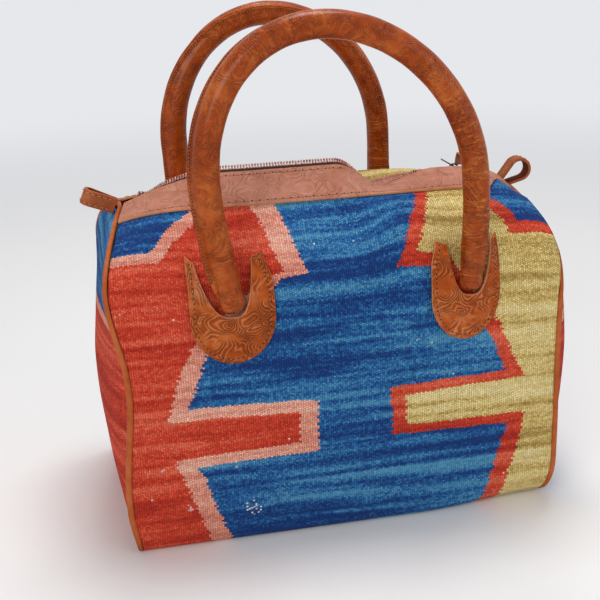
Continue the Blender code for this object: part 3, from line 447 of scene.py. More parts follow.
def rugLook(name, end=0):  # end: -1 or 1 for the end panels, 0 for the body
    look = Look(name, roughness=0.95, Sheen_Weight=0.03, Sheen_Roughness=0.6,
                Specular_IOR_Level=0.08)
    u, v = look.place()
    wander = look.noise(look.vector(u * 14, v * 14)) - 0.5
    wobble = look.noise(look.vector(u, v, 2.0), 150, 1, 0.5) - 0.5
    down = v + wander * 0.0024 + wobble * 0.0009
    along = u + (look.noise(look.vector(u * 11, v * 11, 5.0)) - 0.5) * 0.0036 \
        + wobble * 0.0007

    # Weft beads: each column of beads over a warp is shifted by half a bead against the next
    column = (along / rug["warp"]).floor()
    half = (column * 0.5).fract()
    places = down / rug["bead"] + half
    row = places.floor()
    acrossBead = (along / rug["warp"]).fract() - 0.5
    downBead = places.fract() - 0.5
    bead = ((1 - acrossBead * acrossBead * 4) * (1 - downBead * downBead * 4)) ** 0.6
    dice = look.node("TexWhiteNoise", {"noise_dimensions": "2D"},
                     {"Vector": look.vector(row, column)})
    chance = look.node("SeparateXYZ", {}, (dice.out("Color"),))
    fuzz = look.noise(look.vector(u, v), 1500, 2, 0.6)

    # A bead has one colour, and the colours meet in steps of two warps with small teeth
    beadDown = (row + 0.5 - half) * rug["bead"]
    tooth = (row * 0.25).fract() > 0.45
    beadAlong = (((along / rug["warp"] + tooth) * 0.5).floor() * 2 + 1 - tooth) * rug["warp"] - 0.2

    broad = look.noise(look.vector(along * 4, beadDown * 26, 2.0))
    streak = look.noise(look.vector(along * 5 + broad * 1.5, beadDown * 110), 1.0, 3, 0.6, 0.3)
    patchy = look.noise(look.vector(along, down, 8.0), 90, 2, 0.5)
    share = streak * rug["streaks"] + broad * rug["bands"] + patchy * rug["patches"] \
        + (dice - 0.5) * rug["perBead"] - rug["darker"]

    def graded(dark, middle, pale, low, high):
        return look.node("ValToRGB", {"stops": [(0.0, dark), (0.48, middle), (1.0, pale)]},
                         (share.ease(low, high),))

    blue = graded(rug["navy"], rug["blue"], rug["teal"], 0.26, 0.80)
    red = graded(rug["redDark"], rug["red"], rug["redPale"], 0.12, 0.92)
    salmon = graded(rug["salmonDark"], rug["salmon"], rug["salmonPale"], 0.10, 0.86)
    yellow = graded(rug["olive"], rug["yellow"], rug["yellowPale"], 0.16, 0.84)

    if end:  # the end panels are banded across: u is depth, v is height
        colour = look.mixed(beadDown > rug["endBands"][end][0][0], blue if end > 0 else red, red)
        for height, name in rug["endBands"][end][1:]:
            colour = look.mixed(beadDown > height, colour,
                                {"red": red, "salmon": salmon, "blue": blue}[name])
    else:
        behind = down > clothHalf
        depth = beadDown + behind * (clothWhole - 2 * beadDown)
        turn = beadDown.ease(0.300, clothWhole - 0.300)
        across = beadAlong * (1 - turn * (1 - rug["backScale"])) + turn * rug["backShift"]

        def edge(key):
            line = [(v / 400, (x + 200) / 400) for v, x in rug[key]]
            place = look.node("FloatCurve", {"line": line}, {"Factor": 1.0, "Value": depth / 0.4})
            return place * 0.4 - 0.2

        colour = blue
        for key, dyed in (("leftSalmon", salmon), ("leftRed", red), ("leftCorner", salmon),
                          ("leftBlue", blue)):
            colour = look.mixed(across < edge(key), colour, dyed)
        for key, dyed in (("rightRed", red), ("rightYellow", yellow), ("cornerRed", red),
                          ("cornerBlue", blue)):
            colour = look.mixed(across > edge(key), colour, dyed)

    worn = look.noise(look.vector(along, down, 1.0), 26, 2, 0.5)
    if not end:  # a rubbed place low on the front
        aside, below = ((way - middle) / size for way, middle, size
                        in zip((along, down), rug["rubbed"], rug["rubbedSize"]))
        worn = worn + 0.30 * (1 - (aside * aside + below * below).ease(0.2, 1.1))
    specks = (chance > 0.82) * worn.ease(0.67, 0.75) * 0.75 + (chance > 0.9996) * 0.6
    colour = look.mixed(specks, colour, rug["rubbedWhite"])
    # 0.62 + bead * 0.52 darkens each bead towards its edges: painted shade in the gaps between
    # beads; the other factor is each bead's own tone and fuzz
    thread = (0.62 + bead * 0.52) * (0.82 + chance.out("Y") * 0.28 + fuzz * 0.24)
    colour = look.mixed(1.0, colour, look.vector(thread, thread, thread), "MULTIPLY")
    look.feed("Base Color", colour)
    weave = look.bump(bead + chance.out("Z") * 0.30, 0.00055)
    look.feed("Normal", look.bump(fuzz, 0.0005, weave))
    return look.material


rugCloth = rugLook("rugCloth")
rugEndCloth = {-1: rugLook("rugLeftEnd", -1), 1: rugLook("rugRightEnd", 1)}
print("rug cloth ready")


# Leather

leather = {
    "tan": rgb(178, 118, 96), "tanPale": rgb(204, 152, 130), "tanDark": rgb(140, 80, 56),
    "brown": rgb(156, 64, 8), "brownPale": rgb(206, 118, 54), "brownDark": rgb(88, 28, 4),
    "patch": rgb(164, 72, 16), "patchPale": rgb(214, 134, 80), "patchDark": rgb(92, 32, 6),
}


# Tooling runs in bent rings round scattered spots, with bare places between them. Wrinkles lie
# across a rolled handle and are closest at its right end.
def leatherLook(name, pale, middle, dark, toolingShadeAndHighlight=0.0, relief=0.5, spacing=0.003, roughness=0.5,
                wrinkles=0.0, coat=0.0):
    look = Look(name, roughness=roughness, Coat_Weight=coat, Coat_Roughness=0.20,
                Specular_IOR_Level=0.06)
    x, y, z = look.solid()
    spot = look.vector(x, y, z)
    cloud = look.noise(spot, 26, 4, 0.6)
    mottle = look.noise(spot, 150, 4, 0.65)
    grain = look.node("TexVoronoi", {"feature": "F1"}, {"Vector": spot, "Scale": 1300.0})
    pores = look.noise(spot, 1700, 2, 0.6)
    share = cloud * 0.85 + mottle * 0.55 - 0.20
    normal = look.bump(grain * 0.30 + pores * 0.20, 0.00018)
    if toolingShadeAndHighlight:
        u, v = look.place()
        bendU = look.noise(look.vector(u, v, 7.0), 42, 1.0, 0.5) - 0.5
        bendV = look.noise(look.vector(u, v, 9.0), 42, 1.0, 0.5) - 0.5
        scroll = look.node("TexVoronoi", {"feature": "F1"},
                           {"Vector": look.vector(u + bendU * 0.030, v + bendV * 0.030, 3.0),
                            "Scale": 58.0})
        lines = (scroll * (2 * math.pi / (58.0 * spacing))).sine()
        bare = look.noise(look.vector(u, v, 3.0), 70, 1, 0.5).ease(0.46, 0.62)
        grooveAndShade = (1 - lines.ease(-1.0, -0.45)) * (1 - bare)
        ridgeAndHighlight = lines.ease(0.2, 1.0) * (1 - bare)
        # the tooling also colours the leather: grooves painted darker, painted shade, and ridges
        # painted paler, painted highlight; the relief itself is the bump below
        share = share - grooveAndShade * 0.07 * toolingShadeAndHighlight + ridgeAndHighlight * 0.18 * toolingShadeAndHighlight
        normal = look.bump(ridgeAndHighlight * 0.6 - grooveAndShade, 0.00060 * relief, normal)
    if wrinkles:
        u, v = look.place()
        many = u.ease(0.30, 0.43)
        crease = look.noise(look.vector(u * 170, v * 26), 1.0, 2, 0.55, 0.4)
        folds = (1 - abs(crease - 0.5) * 15).ease(0.20, 1.0)
        where = look.noise(look.vector(u * 16, v * 30, 4.0), 1.0, 1, 0.5).ease(0.50, 0.66)
        folds = folds * (where * 0.7 + many).calc("MINIMUM", 1.0) * wrinkles
        # the folds are painted paler along the wrinkles: painted highlight; the creases themselves
        # are the bump below
        share = share + folds * 0.22
        normal = look.bump(folds, 0.0008, normal)
    colour = look.node("ValToRGB", {"stops": [(0.10, dark), (0.50, middle), (0.95, pale)]},
                       (share,))
    look.feed("Base Color", colour)
    look.feed("Roughness", mottle * 0.30 + roughness - 0.14)
    look.feed("Normal", normal)
    return look.material


bandLeather = leatherLook("bandLeather", leather["tanPale"], leather["tan"], leather["tanDark"],
                          toolingShadeAndHighlight=0.34, relief=0.6, spacing=0.0028, roughness=0.50)
handleLeather = leatherLook("handleLeather", leather["brownPale"], leather["brown"],
                            leather["brownDark"], toolingShadeAndHighlight=0.34, relief=0.9, spacing=0.0021,
                            roughness=0.34, wrinkles=1.0, coat=0.26)
patchLeather = leatherLook("patchLeather", leather["patchPale"], leather["patch"],
                           leather["patchDark"], toolingShadeAndHighlight=1.25, relief=1.6, spacing=0.0023,
                           roughness=0.38, coat=0.14)
loopLeather = leatherLook("loopLeather", rgb(190, 116, 78), rgb(160, 88, 52), rgb(106, 50, 26),
                          roughness=0.48)
rawEdge = leatherLook("rawEdge", rgb(228, 168, 126), rgb(208, 138, 94), rgb(150, 84, 46),
                      roughness=0.75)
pipingLeather = leatherLook("pipingLeather", rgb(202, 122, 76), rgb(176, 90, 46), rgb(116, 52, 24),
                            roughness=0.50)
# a darker copy of the loop leather: painted shade, meant for the strap's face inside the loop
loopInsideShade = leatherLook("loopInsideShade", rgb(140, 74, 48), rgb(112, 52, 32), rgb(66, 26, 16),
                         roughness=0.7)


def threadLook(name, colour, dark):
    look = Look(name, roughness=0.8)
    x, y, z = look.solid()
    spin = look.noise(look.vector(x, y, z), 2500, 2, 0.5)
    look.feed("Base Color", look.mixed(spin.ease(0.3, 0.7), dark, colour))
    look.feed("Normal", look.bump(spin, 0.0002))
    return look.material


patchThread = threadLook("patchThread", rgb(190, 116, 68), rgb(144, 80, 42))
handleThread = threadLook("handleThread", rgb(190, 120, 72), rgb(140, 78, 38))
tanThread = threadLook("tanThread", rgb(204, 140, 102), rgb(164, 102, 66))
# dark discs at the stitch ends: painted shade of the stitch holes
stitchHoleShade = threadLook("stitchHoleShade", rgb(84, 40, 20), rgb(40, 18, 8))
print("leather ready")


# Zip finishes, lining and cord

def metalLook(name, colour, dark, roughness):
    look = Look(name, roughness=roughness, metallic=0.9)
    x, y, z = look.solid()
    rub = look.noise(look.vector(x, y, z), 420, 3, 0.6)
    look.feed("Base Color", look.mixed(rub.ease(0.35, 0.7), dark, colour))
    look.feed("Roughness", rub * 0.25 + roughness - 0.1)
    look.feed("Normal", look.bump(rub, 0.0002))
    return look.material


toothMetal = metalLook("toothMetal", rgb(196, 142, 126), rgb(122, 78, 68), 0.42)
sliderMetal = metalLook("sliderMetal", rgb(120, 114, 110), rgb(62, 56, 54), 0.32)


def clothLook(name, colour, dark, threads, depth):
    look = Look(name, roughness=0.92)
    x, y, z = look.solid()
    spot = look.vector(x, y, z)
    slub = look.noise(spot, 260, 3, 0.6)
    over = (x * threads).sine() * ((y + z) * threads).sine()
    share = slub * 0.7 + over * 0.2 + 0.15
    look.feed("Base Color", look.mixed(share.ease(0.2, 0.8), dark, colour))
    look.feed("Normal", look.bump(share, depth))
    return look.material


tapeCloth = clothLook("tapeCloth", rgb(70, 42, 34), rgb(34, 18, 14), 5200, 0.0003)
liningCloth = clothLook("liningCloth", rgb(196, 180, 150), rgb(150, 134, 106), 4200, 0.0002)
cordCloth = clothLook("cordCloth", rgb(214, 206, 188), rgb(160, 150, 130), 2600, 0.0004)


# Stitches: short threads that dip into holes at both ends

def stitches(name, seam, body, look, long, thick, holeSize=0.00055):
    # seam: (middle, direction along the seam, outward normal) of each stitch
    threadPoints, threadFaces, holePoints, holeFaces = [], [], [], []
    sides = 6
    for middle, along, normal in seam:
        along = along.normalized()
        normal = (normal - along * normal.dot(along)).normalized()
        side = along.cross(normal)
        start = len(threadPoints)
        rings = ((-0.5, -1.2, 0.55), (-0.36, 0.25, 0.95), (-0.12, 0.75, 1.0),
                 (0.12, 0.75, 1.0), (0.36, 0.25, 0.95), (0.5, -1.2, 0.55))
        for place, rise, size in rings:
            centre = middle + along * long * place + normal * (thick * rise)
            threadPoints += [centre + (side * c + normal * s) * thick * size
                             for c, s, _ in ringAround(sides)]
        threadFaces += stripFaces(start, len(rings), sides)
        threadFaces.append(tuple(start + k for k in range(sides))[::-1])
        threadFaces.append(tuple(start + (len(rings) - 1) * sides + k for k in range(sides)))
        # a thin dark disc just past the stitch's end stands for its hole: painted shade
        at = len(holePoints)
        centre = middle + along * (long * 0.5 + holeSize * 0.9) + normal * 0.00006
        holePoints += [centre + side * c * holeSize * 0.8 + along * s * holeSize
                       for c, s, _ in ringAround(8)]
        holeFaces.append(tuple(at + k for k in range(8))[::-1])
    finishPiece(addMesh(name, threadPoints, threadFaces), body, look)
    holes = addMesh(name + "Holes", holePoints, holeFaces)
    thicken(holes, 0.00008, 1.0)
    finishPiece(holes, body, stitchHoleShade)


def seamAlong(points, normals, pitch, bare):  # evenly spaced places, with bare ends
    lengths, found, at = runs(points), [], bare
    while at < lengths[-1] - bare:
        i = max(k for k in range(len(lengths) - 1) if lengths[k] <= at)
        t = (at - lengths[i]) / max(lengths[i + 1] - lengths[i], 1e-9)
        found.append((points[i].lerp(points[i + 1], t), points[i + 1] - points[i],
                      normals[i].lerp(normals[i + 1], t)))
        at += pitch
    return found


# Cloth body: one cloth from under the front band, under the base, to the back band

panel = {
    "columns": 170, "inside": 0.0025, "sag": 0.0011,
    "pressed": 0.0022, "leg": (0.096, 0.080), "legSpan": (0.045, 0.050),  # under the handles' legs
    "puff": 0.0044, "over": 0.0030,  # the full right end
    "puffFrom": 0.82, "puffSpan": 0.12, "puffEdge": 0.0115, "puffTop": 0.016, "puffLow": 0.125,
    "puffFade": 0.06,
    "cover": 0.022, "coverFrom": 0.80, "coverSpan": 0.13,  # the cloth over the band's narrow end
    "under": (0.0095, 0.004), "flat": 0.012,  # hem under the band, height without dents
}


def coveredBand(share):  # how far the cloth covers the band's right end
    return panel["cover"] * smooth((share - panel["coverFrom"]) / panel["coverSpan"])


def clothDent(share, v):  # soft dents of worn cloth, in metres inwards
    u = share * 0.18
    wave = math.sin(u * 31 + 3 * math.sin(v * 17)) * math.sin(v * 23 + 1.3)
    wave += 0.6 * math.sin(u * 74 + v * 40) * math.sin(v * 51 - u * 20)
    dent = panel["sag"] * wave * (1 - share ** 6) * smooth(v / 0.03) \
        * smooth((clothWhole - v) / 0.03)
    down = min(v, clothWhole - v)
    (aside, below), (wide, high) = panel["leg"], panel["legSpan"]
    leg = hump((abs(share) * 0.18 - aside) / wide) * hump((down - below) / high)
    return mix(dent, panel["pressed"] + 0.4 * dent, leg)


def buildPanel():
    rows, p = [], panel
    for share in stepsAcross(p["columns"]):
        extra = coveredBand(share)
        line = wholeSection(share, (p["under"][0] + extra, p["under"][1] + extra * 0.5))
        puffed = smooth((share - p["puffFrom"]) / p["puffSpan"]) \
            * smooth((1 - share) / p["puffEdge"])
        row = []
        for (y, z, v), (ny, nz) in zip(line, sectionNormals(line)):
            dent = clothDent(share, v) if z > p["flat"] else 0.0
            fold = puffed * smooth((v + extra) / p["puffTop"]) \
                * smooth((p["puffLow"] - v) / p["puffFade"])
            dent -= p["puff"] * fold
            x = share * (halfLength(z, share) - p["inside"] + p["over"] * fold)
            row.append(((x, y + ny * dent, z + nz * dent), (x + 0.2, v)))
        rows.append(row)
    obj = gridMesh("bodyCloth", rows)
    thicken(obj, shape["cloth"])
    finishPiece(obj, "bag", rugCloth, ("body_panel",))


buildPanel()


# End panels, swollen out inside their piping

gusset = {"bulge": 0.0205, "crown": 0.135, "above": {-1: 0.10, 1: 0.13}, "below": 0.14,
          "square": {-1: 2.6, 1: 6.0}, "ripple": 0.0012, "across": 48, "upTo": (0.0270, 0.0124)}


def buildGusset(name, end, node):
    line = wholeSection(end, gusset["upTo"])
    edge = shape["cloth"] / 2 + shape["piping"] + shape["gap"]
    ring = [(y + ny * edge, z + nz * edge)
            for (y, z, _), (ny, nz) in zip(line, sectionNormals(line))]
    pairs = [(ring[i], ring[-1 - i]) for i in range(len(ring) // 2 - 2)]
    top, base = pairs[0][0][1], pairs[-1][0][1]
    rows = []
    for first, second in pairs:
        down = (top - first[1]) / (top - base)
        away = first[1] - gusset["crown"]
        reach = gusset["above"][end] if away > 0 else gusset["below"]
        full = gusset["bulge"] * hump(away / reach)
        row = []
        for j in range(gusset["across"] + 1):
            t = j / gusset["across"]
            y, z = mix(first[0], second[0], t), mix(first[1], second[1], t)
            z = max(z, 2 * shape["piping"] + shape["gap"])
            swell = full * (1 - abs(2 * t - 1) ** gusset["square"][end])
            swell += gusset["ripple"] * math.sin(9 * t + 21 * z) * math.sin(math.pi * t) \
                * math.sin(math.pi * down)
            x = end * (halfLength(z, end) + shape["cloth"] / 2 + swell)
            row.append(((x, y, z), (y + 0.2, z)))
        rows.append(row)
    obj = gridMesh(name, rows, flip=end > 0)
    thicken(obj, shape["cloth"])
    finishPiece(obj, "bag", rugEndCloth[end], (node,))


buildGusset("leftEndCloth", -1, "left_gusset")
buildGusset("rightEndCloth", 1, "right_gusset")


# Piping: leather wrapped round a cord in both end seams

piping = {"sides": 12, "thin": 0.86, "full": 1.18, "fullBelow": 0.24, "thinning": 0.12,
          "foot": 0.02, "upTo": (0.0300, 0.022, 0.012)}


def buildPiping(name, end, node):
    line = wholeSection(end, piping["upTo"])
    half = shape["cloth"] / 2
    points = []
    for (y, z, _), (ny, nz) in zip(line, sectionNormals(line)):
        at = z + nz * half
        points.append(Vector((end * halfLength(at, end), y + ny * half, max(at, shape["piping"]))))
    rows = []
    for i, (p, run) in enumerate(zip(points, runs(points))):
        along = (points[(i + 1) % len(points)] - points[i - 1]).normalized()
        side = Vector((1, 0, 0))
        side = (side - along * side.dot(along)).normalized()
        other = along.cross(side)
        full = smooth((piping["fullBelow"] - p.z) / piping["thinning"]) \
            * smooth(p.z / piping["foot"])
        size = shape["piping"] * mix(piping["thin"], piping["full"], full)
        rows.append([(p + (side * c + other * s) * size, (run, a * size))
                     for c, s, a in ringAround(piping["sides"])])
    obj = gridMesh(name, rows + rows[:1], closed=True)
    finishPiece(obj, "bag", pipingLeather, (node,))


buildPiping("leftPipingCord", -1, "left_piping")
buildPiping("rightPipingCord", 1, "right_piping")
print("cloth body ready")


# Leather bands along both sides of the zip

band = {
    "columns": 160, "thickness": 0.0020, "inset": 0.425, "pitch": 0.0062, "stitch": 0.0048,
    "thread": 0.00034, "hole": 0.00082, "bare": 0.004, "least": 0.00002, "soft": 0.0005,
    "flapFrom": 0.062,  # right of this the front band is sewn only along its lower edge
    "spread": [1.0, 0.95, 0.87, 0.74, 0.61, 0.48, 0.37, 0.26, 0.16, 0.08, 0.0],
}


def buildBand(name, side, node):
    rows, out = [], shape["gap"] + band["thickness"]
    edges = {"upper": ([], []), "lower": ([], [])}
    for share in stepsAcross(band["columns"]):
        lowest = max(band["least"], coveredBand(share) if side == front else 0.0)
        across = [mix(lowest, shape["bandWidth"], t) for t in band["spread"]]
        line = halfSection(share, side, across)[:len(across)]
        normals = sectionNormals(line, side)
        row, outer = [], []
        for (y, z, v), (ny, nz) in zip(line, normals):
            x = share * (halfLength(z, share) - shape["piping"] - shape["gap"])
            row.append(((x, y + ny * shape["gap"], z + nz * shape["gap"]), (x + 0.2, -v)))
            outer.append(Vector((x, y + ny * out, z + nz * out)))
        rows.append(row)
        for key, edge, inner in (("upper", 0, 3), ("lower", -1, -4)):
            edges[key][0].append(outer[edge].lerp(outer[inner], band["inset"]))
            edges[key][1].append(Vector((0, *normals[5])))
    obj = gridMesh(name, rows, flip=side == back)
    thicken(obj, band["thickness"], 1.0, rim=1)
    roundEdges(obj, band["soft"])
    finishPiece(obj, "bag", [bandLeather, rawEdge], (node,))
    for key, (points, normals) in edges.items():
        seam = seamAlong(points, normals, band["pitch"], band["bare"])
        if side == front and key == "upper":
            seam = [s for s in seam if s[0].x < band["flapFrom"]]
        stitches(f"{name}{key.title()}Stitches", seam, "bag", tanThread, band["stitch"],
                 band["thread"], holeSize=band["hole"])


buildBand("frontZipBand", front, "front_band")
buildBand("backZipBand", back, "back_band")
print("bands ready")


# Zip: tape, teeth, slider and the leather hood at its right end

zipper = {
    "tape": 0.0010, "show": 0.0036, "half": 0.150, "height": 0.2725, "straight": 0.046,
    "blend": 0.020, "level": 0.016, "leftRise": 0.0014, "spread": 0.0052,
    "pitch": 0.00235, "toothWidth": 0.00152, "toothThick": 0.0020,
    "columns": 240, "tapeReach": 0.985, "sewnAt": (0.0320, 0.031, 0.026),
    "tuck": (1.0, 1.0, 0.95, 0.8, 0.0), "tuckFrom": 0.146, "tuckSpan": 0.006,  # ends under the band
    "start": 0.002, "toothSoft": 0.00022,
    "toothProfile": [  # (distance from the tape's edge, width): a waist on the bead, a round head
        (-0.0011, 0.55), (-0.0006, 0.95), (0.0004, 0.95), (0.0009, 0.72),
        (0.0018, 0.74), (0.0026, 1.0), (0.0032, 0.92), (0.0036, 0.5)],
}


def chainPlace(share, side):
    z = zipper
    tip, root = halfSection(share, side, (0.031, 0.0155))[:2]
    inward = Vector((0, tip[0] - root[0], tip[1] - root[1])).normalized()
    x = share * (halfLength(tip[1], share) - shape["piping"] - shape["gap"])
    free = Vector((x, tip[0], tip[1])) + inward * z["show"]
    joined = z["half"] - z["straight"] if x > 0 else z["half"]
    together = smooth((abs(x) - joined) / z["blend"] + 1)
    level = smooth((x - joined + z["level"]) / z["blend"] + 1) if x > 0 else together
    stand = together if x < 0 else 0.0
    point = Vector((x, mix(free.y, side * z["spread"], together),
                    mix(free.z, z["height"], level) + z["leftRise"] * stand))
    return point, inward.lerp(Vector((0, -side, 0)), level * (1 - 0.45 * stand)).normalized()


def buildZipSide(name, side, tapeNode, teethNode):
    steps = stepsAcross(zipper["columns"], zipper["tapeReach"])
    places = [chainPlace(share, side) for share in steps]
    rows = []
    for share, (foot, direction) in zip(steps, places):
        normal = Vector((0, -direction.z, direction.y)) * side
        sewn = halfSection(share, side, zipper["sewnAt"])[:3]
        x = foot.x
        edge = foot - direction * 0.0002 - normal * zipper["tape"] / 2
        row = [edge, edge - direction * 0.0010] + [Vector((x, y, z)) for y, z, _ in sewn]
        under = smooth((abs(x) - zipper["tuckFrom"]) / zipper["tuckSpan"])
        rows.append([(p.lerp(row[4], under * k), (x + 0.2, i * 0.003))
                     for i, (p, k) in enumerate(zip(row, zipper["tuck"]))])
    tape = gridMesh(name + "Tape", rows, flip=side == back)
    thicken(tape, zipper["tape"])
    finishPiece(tape, "bag", tapeCloth, (tapeNode,))

    lengths = runs([foot for foot, _ in places])
    points, faces = [], []
    half, thick = zipper["toothWidth"] / 2, zipper["toothThick"] / 2
    for n in range(int((lengths[-1] - 2 * zipper["start"]) / zipper["pitch"])):
        at = zipper["start"] + (n + (0.5 if side == back else 0)) * zipper["pitch"]
        i = int(np.searchsorted(lengths, at)) - 1
        if i < 0 or i >= len(places) - 1:
            continue
        t = (at - lengths[i]) / (lengths[i + 1] - lengths[i])
        foot = places[i][0].lerp(places[i + 1][0], t)
        if abs(foot.x) > zipper["half"]:
            continue
        direction = places[i][1].lerp(places[i + 1][1], t).normalized()
        along = (places[i + 1][0] - places[i][0]).normalized()
        direction = (direction - along * direction.dot(along)).normalized()
        normal = along.cross(direction)
        start, last = len(points), len(zipper["toothProfile"]) - 1
        for reach, size in zipper["toothProfile"]:
            centre = foot + direction * reach
            for a, b in ((-1, -1), (1, -1), (1, 1), (-1, 1)):
                points.append(centre + along * half * size * a
                              + normal * thick * b * mix(1, size, 0.4))
        faces += stripFaces(start, last + 1, 4)
        faces.append((start + 3, start + 2, start + 1, start))
        faces.append(tuple(start + 4 * last + k for k in range(4)))
    teeth = addMesh(name + "Teeth", points, faces)
    roundEdges(teeth, zipper["toothSoft"], 1)
    finishPiece(teeth, "bag", toothMetal, (teethNode,))


buildZipSide("frontZip", front, "front_zip_tape", "front_zip_teeth")
buildZipSide("backZip", back, "back_zip_tape", "back_zip_teeth")

for nodeName, soft in (("zip_slider", 0.00035), ("zip_pull", 0.00025)):
    roundEdges(repaint(nodeName, sliderMetal), soft, 2, 40)

hood = {"start": 0.1230, "end": 0.143, "radius": 0.0082, "thickness": 0.0016, "floor": 0.0028,
        "along": 14, "around": 32, "narrowing": 0.06, "steep": 0.35, "uneven": 0.0006,
        "soft": 0.0004}


def buildHood():
    floor, rows = zipper["height"] + hood["floor"], []
    for i in range(hood["along"] + 1):
        t = i / hood["along"]
        x = mix(hood["start"], hood["end"], t)
        size = hood["radius"] * (1 - hood["narrowing"] * t * t)
        row = []
        for k in range(hood["around"] + 1):
            a = math.pi * (1 - k / hood["around"])
            rise = size * hood["steep"] * min(1, k / 3, (hood["around"] - k) / 3)
            row.append((Vector((x + hood["uneven"] * math.sin(3 * a), size * math.cos(a),
                                floor + rise + size * math.sin(a))), (x, a * size)))
        rows.append(row)
    obj = gridMesh("zipEndHood", rows)
    thicken(obj, hood["thickness"], rim=1)
    roundEdges(obj, hood["soft"])
    finishPiece(obj, "bag", [bandLeather, rawEdge], ("zip_end_hood",))


buildHood()
print("zip ready")


# Cotton lining, seen through the open zip

lining = {"columns": 90, "tight": 0.0036, "slack": 0.0046, "inside": 0.0076, "ripple": 0.0008,
          "thickness": 0.0008}


def buildLining():
    rows = []
    for share in stepsAcross(lining["columns"]):
        line = wholeSection(share, panel["under"])
        row = []
        for (y, z, v), (ny, nz) in zip(line, sectionNormals(line)):
            away = mix(lining["tight"], lining["slack"], max(z, 0) / 0.27)
            away += lining["ripple"] * (1 + math.sin(share * 47 + v * 30)) * smooth(z / 0.02)
            x = share * (halfLength(z, share) - lining["inside"])
            row.append(((x, y + ny * away, z + nz * away), (share * 0.18 + 0.2, v)))
        rows.append(row)
    sack = gridMesh("liningSack", rows)
    ends = bmesh.new()
    ends.from_mesh(sack.data)
    ends.verts.ensure_lookup_table()
    width = len(rows[0])
    for first in (0, len(rows) - 1):  # the sack's two ends, in strips from front to back
        middle = width // 2
        for k in range(middle):
            a, b = first * width + k, first * width + k + 1
            c, d = first * width + width - 2 - k, first * width + width - 1 - k
            corners = []
            for n in (a, b, c, d):
                if ends.verts[n] not in corners:
                    corners.append(ends.verts[n])
            if len(corners) > 2:
                ends.faces.new(corners)
    bmesh.ops.recalc_face_normals(ends, faces=ends.faces)
    ends.to_mesh(sack.data)
    ends.free()
    sack.data.shade_smooth()
    thicken(sack, lining["thickness"], 1.0)
    finishPiece(sack, "bag", liningCloth, ("lining",))


buildLining()


# Rolled handles

handle = {
    "radius": 0.0103, "lip": 0.0032, "lipThick": 0.0036, "slit": 0.0006, "endDeep": 0.0060,
    "endWide": 0.0090, "taper": 0.030, "spread": 0.091, "rightOut": 0.0055, "seat": 0.206,
    "half": 0.102, "leg": 0.0885, "bow": {front: 0.1153, back: 0.1088},
    "lean": {front: -0.018, back: -0.0072}, "shift": {front: 0.0, back: -0.0118},
    "narrow": {front: 0.0, back: 0.0074}, "lipTurn": 65.0, "lipReturn": 0.065,
    "stitch": 0.0016, "pitch": 0.0026, "bare": 0.022, "thread": 0.00040, "uneven": 0.012,
    "seamAt": 0.42,
}


def handleBase(side, end):
    h = handle
    shift = h["rightOut"] if side == front and end > 0 else h["shift"][side]
    return facePoint(shift + end * h["spread"], h["seat"], side, h["endDeep"] + shape["gap"])


def handleFrames(side, legs=26, bow=84):  # (centre, along, direction of the lip, across, fullness)
    h = handle
    left, right = handleBase(side, -1), handleBase(side, 1)
    base = (left.z + right.z) / 2
    middle, half = h["shift"][side], h["half"] - h["narrow"][side]
    spring, rise = h["seat"] + h["leg"], h["bow"][side]
    sides = []
    for start, knee in ((left.x, middle - half), (right.x, middle + half)):
        leg = []
        for i in range(legs):
            t = (i / legs) ** 1.5
            leg.append((mix(start, knee, math.sin(math.pi / 2 * t)), mix(base, spring, t)))
        sides.append(leg)
    line = list(sides[0])
    for i in range(bow + 1):
        a = math.pi * (1 - i / bow)
        line.append((middle + half * math.cos(a), spring + rise * math.sin(a)))
    line += sides[1][::-1]
    top = spring + rise
    line = [(x + h["lean"][side] * ((z - base) / (top - base)) ** 2, z) for x, z in line]
    frames = []
    for i, (x, z) in enumerate(line):
        a, b = line[max(0, i - 1)], line[min(len(line) - 1, i + 1)]
        along = Vector((b[0] - a[0], 0, b[1] - a[1])).normalized()
        y = mix(left.y, right.y, (x - left.x) / (right.x - left.x))
        outward, inner = Vector((-along.z, 0, along.x)), Vector((0, -side, 0))
        step = 5 * i / legs if i < legs else 5 + 12 * (i - legs) / bow
        turned = smooth((step - 3) / 9) * smooth((z - h["seat"]) / h["lipReturn"])
        turn = math.radians(h["lipTurn"]) * turned
        frames.append((Vector((x, y, z)), along, outward * math.cos(turn) + inner * math.sin(turn),
                       inner * math.cos(turn) - outward * math.sin(turn),
                       smooth((z - base) / h["taper"])))
    return frames


def handleOutline(full):
    h = handle
    wide = mix(h["endWide"] / h["radius"], 1, full)
    deep = mix(h["endDeep"] / h["radius"], 1, full)
    lip = h["lipThick"] / 2 * mix(0.7, 1, full)
    reach = h["radius"] + h["lip"] * full
    r = h["radius"]
    outline = [(reach * wide - 0.0002, h["slit"] / 2), (reach * wide, lip * 0.45),
               (reach * wide - 0.0003, lip * 0.85), (reach * wide - 0.0009, lip),
               (mix(reach, r, 0.75) * wide, lip * 1.08)]
    steps = 36
    for i in range(2, steps - 1):
        a = 2 * math.pi * i / steps
        outline.append((r * wide * math.cos(a), r * deep * math.sin(a)))
    return outline + [(u, -v) for u, v in outline[:5][::-1]]


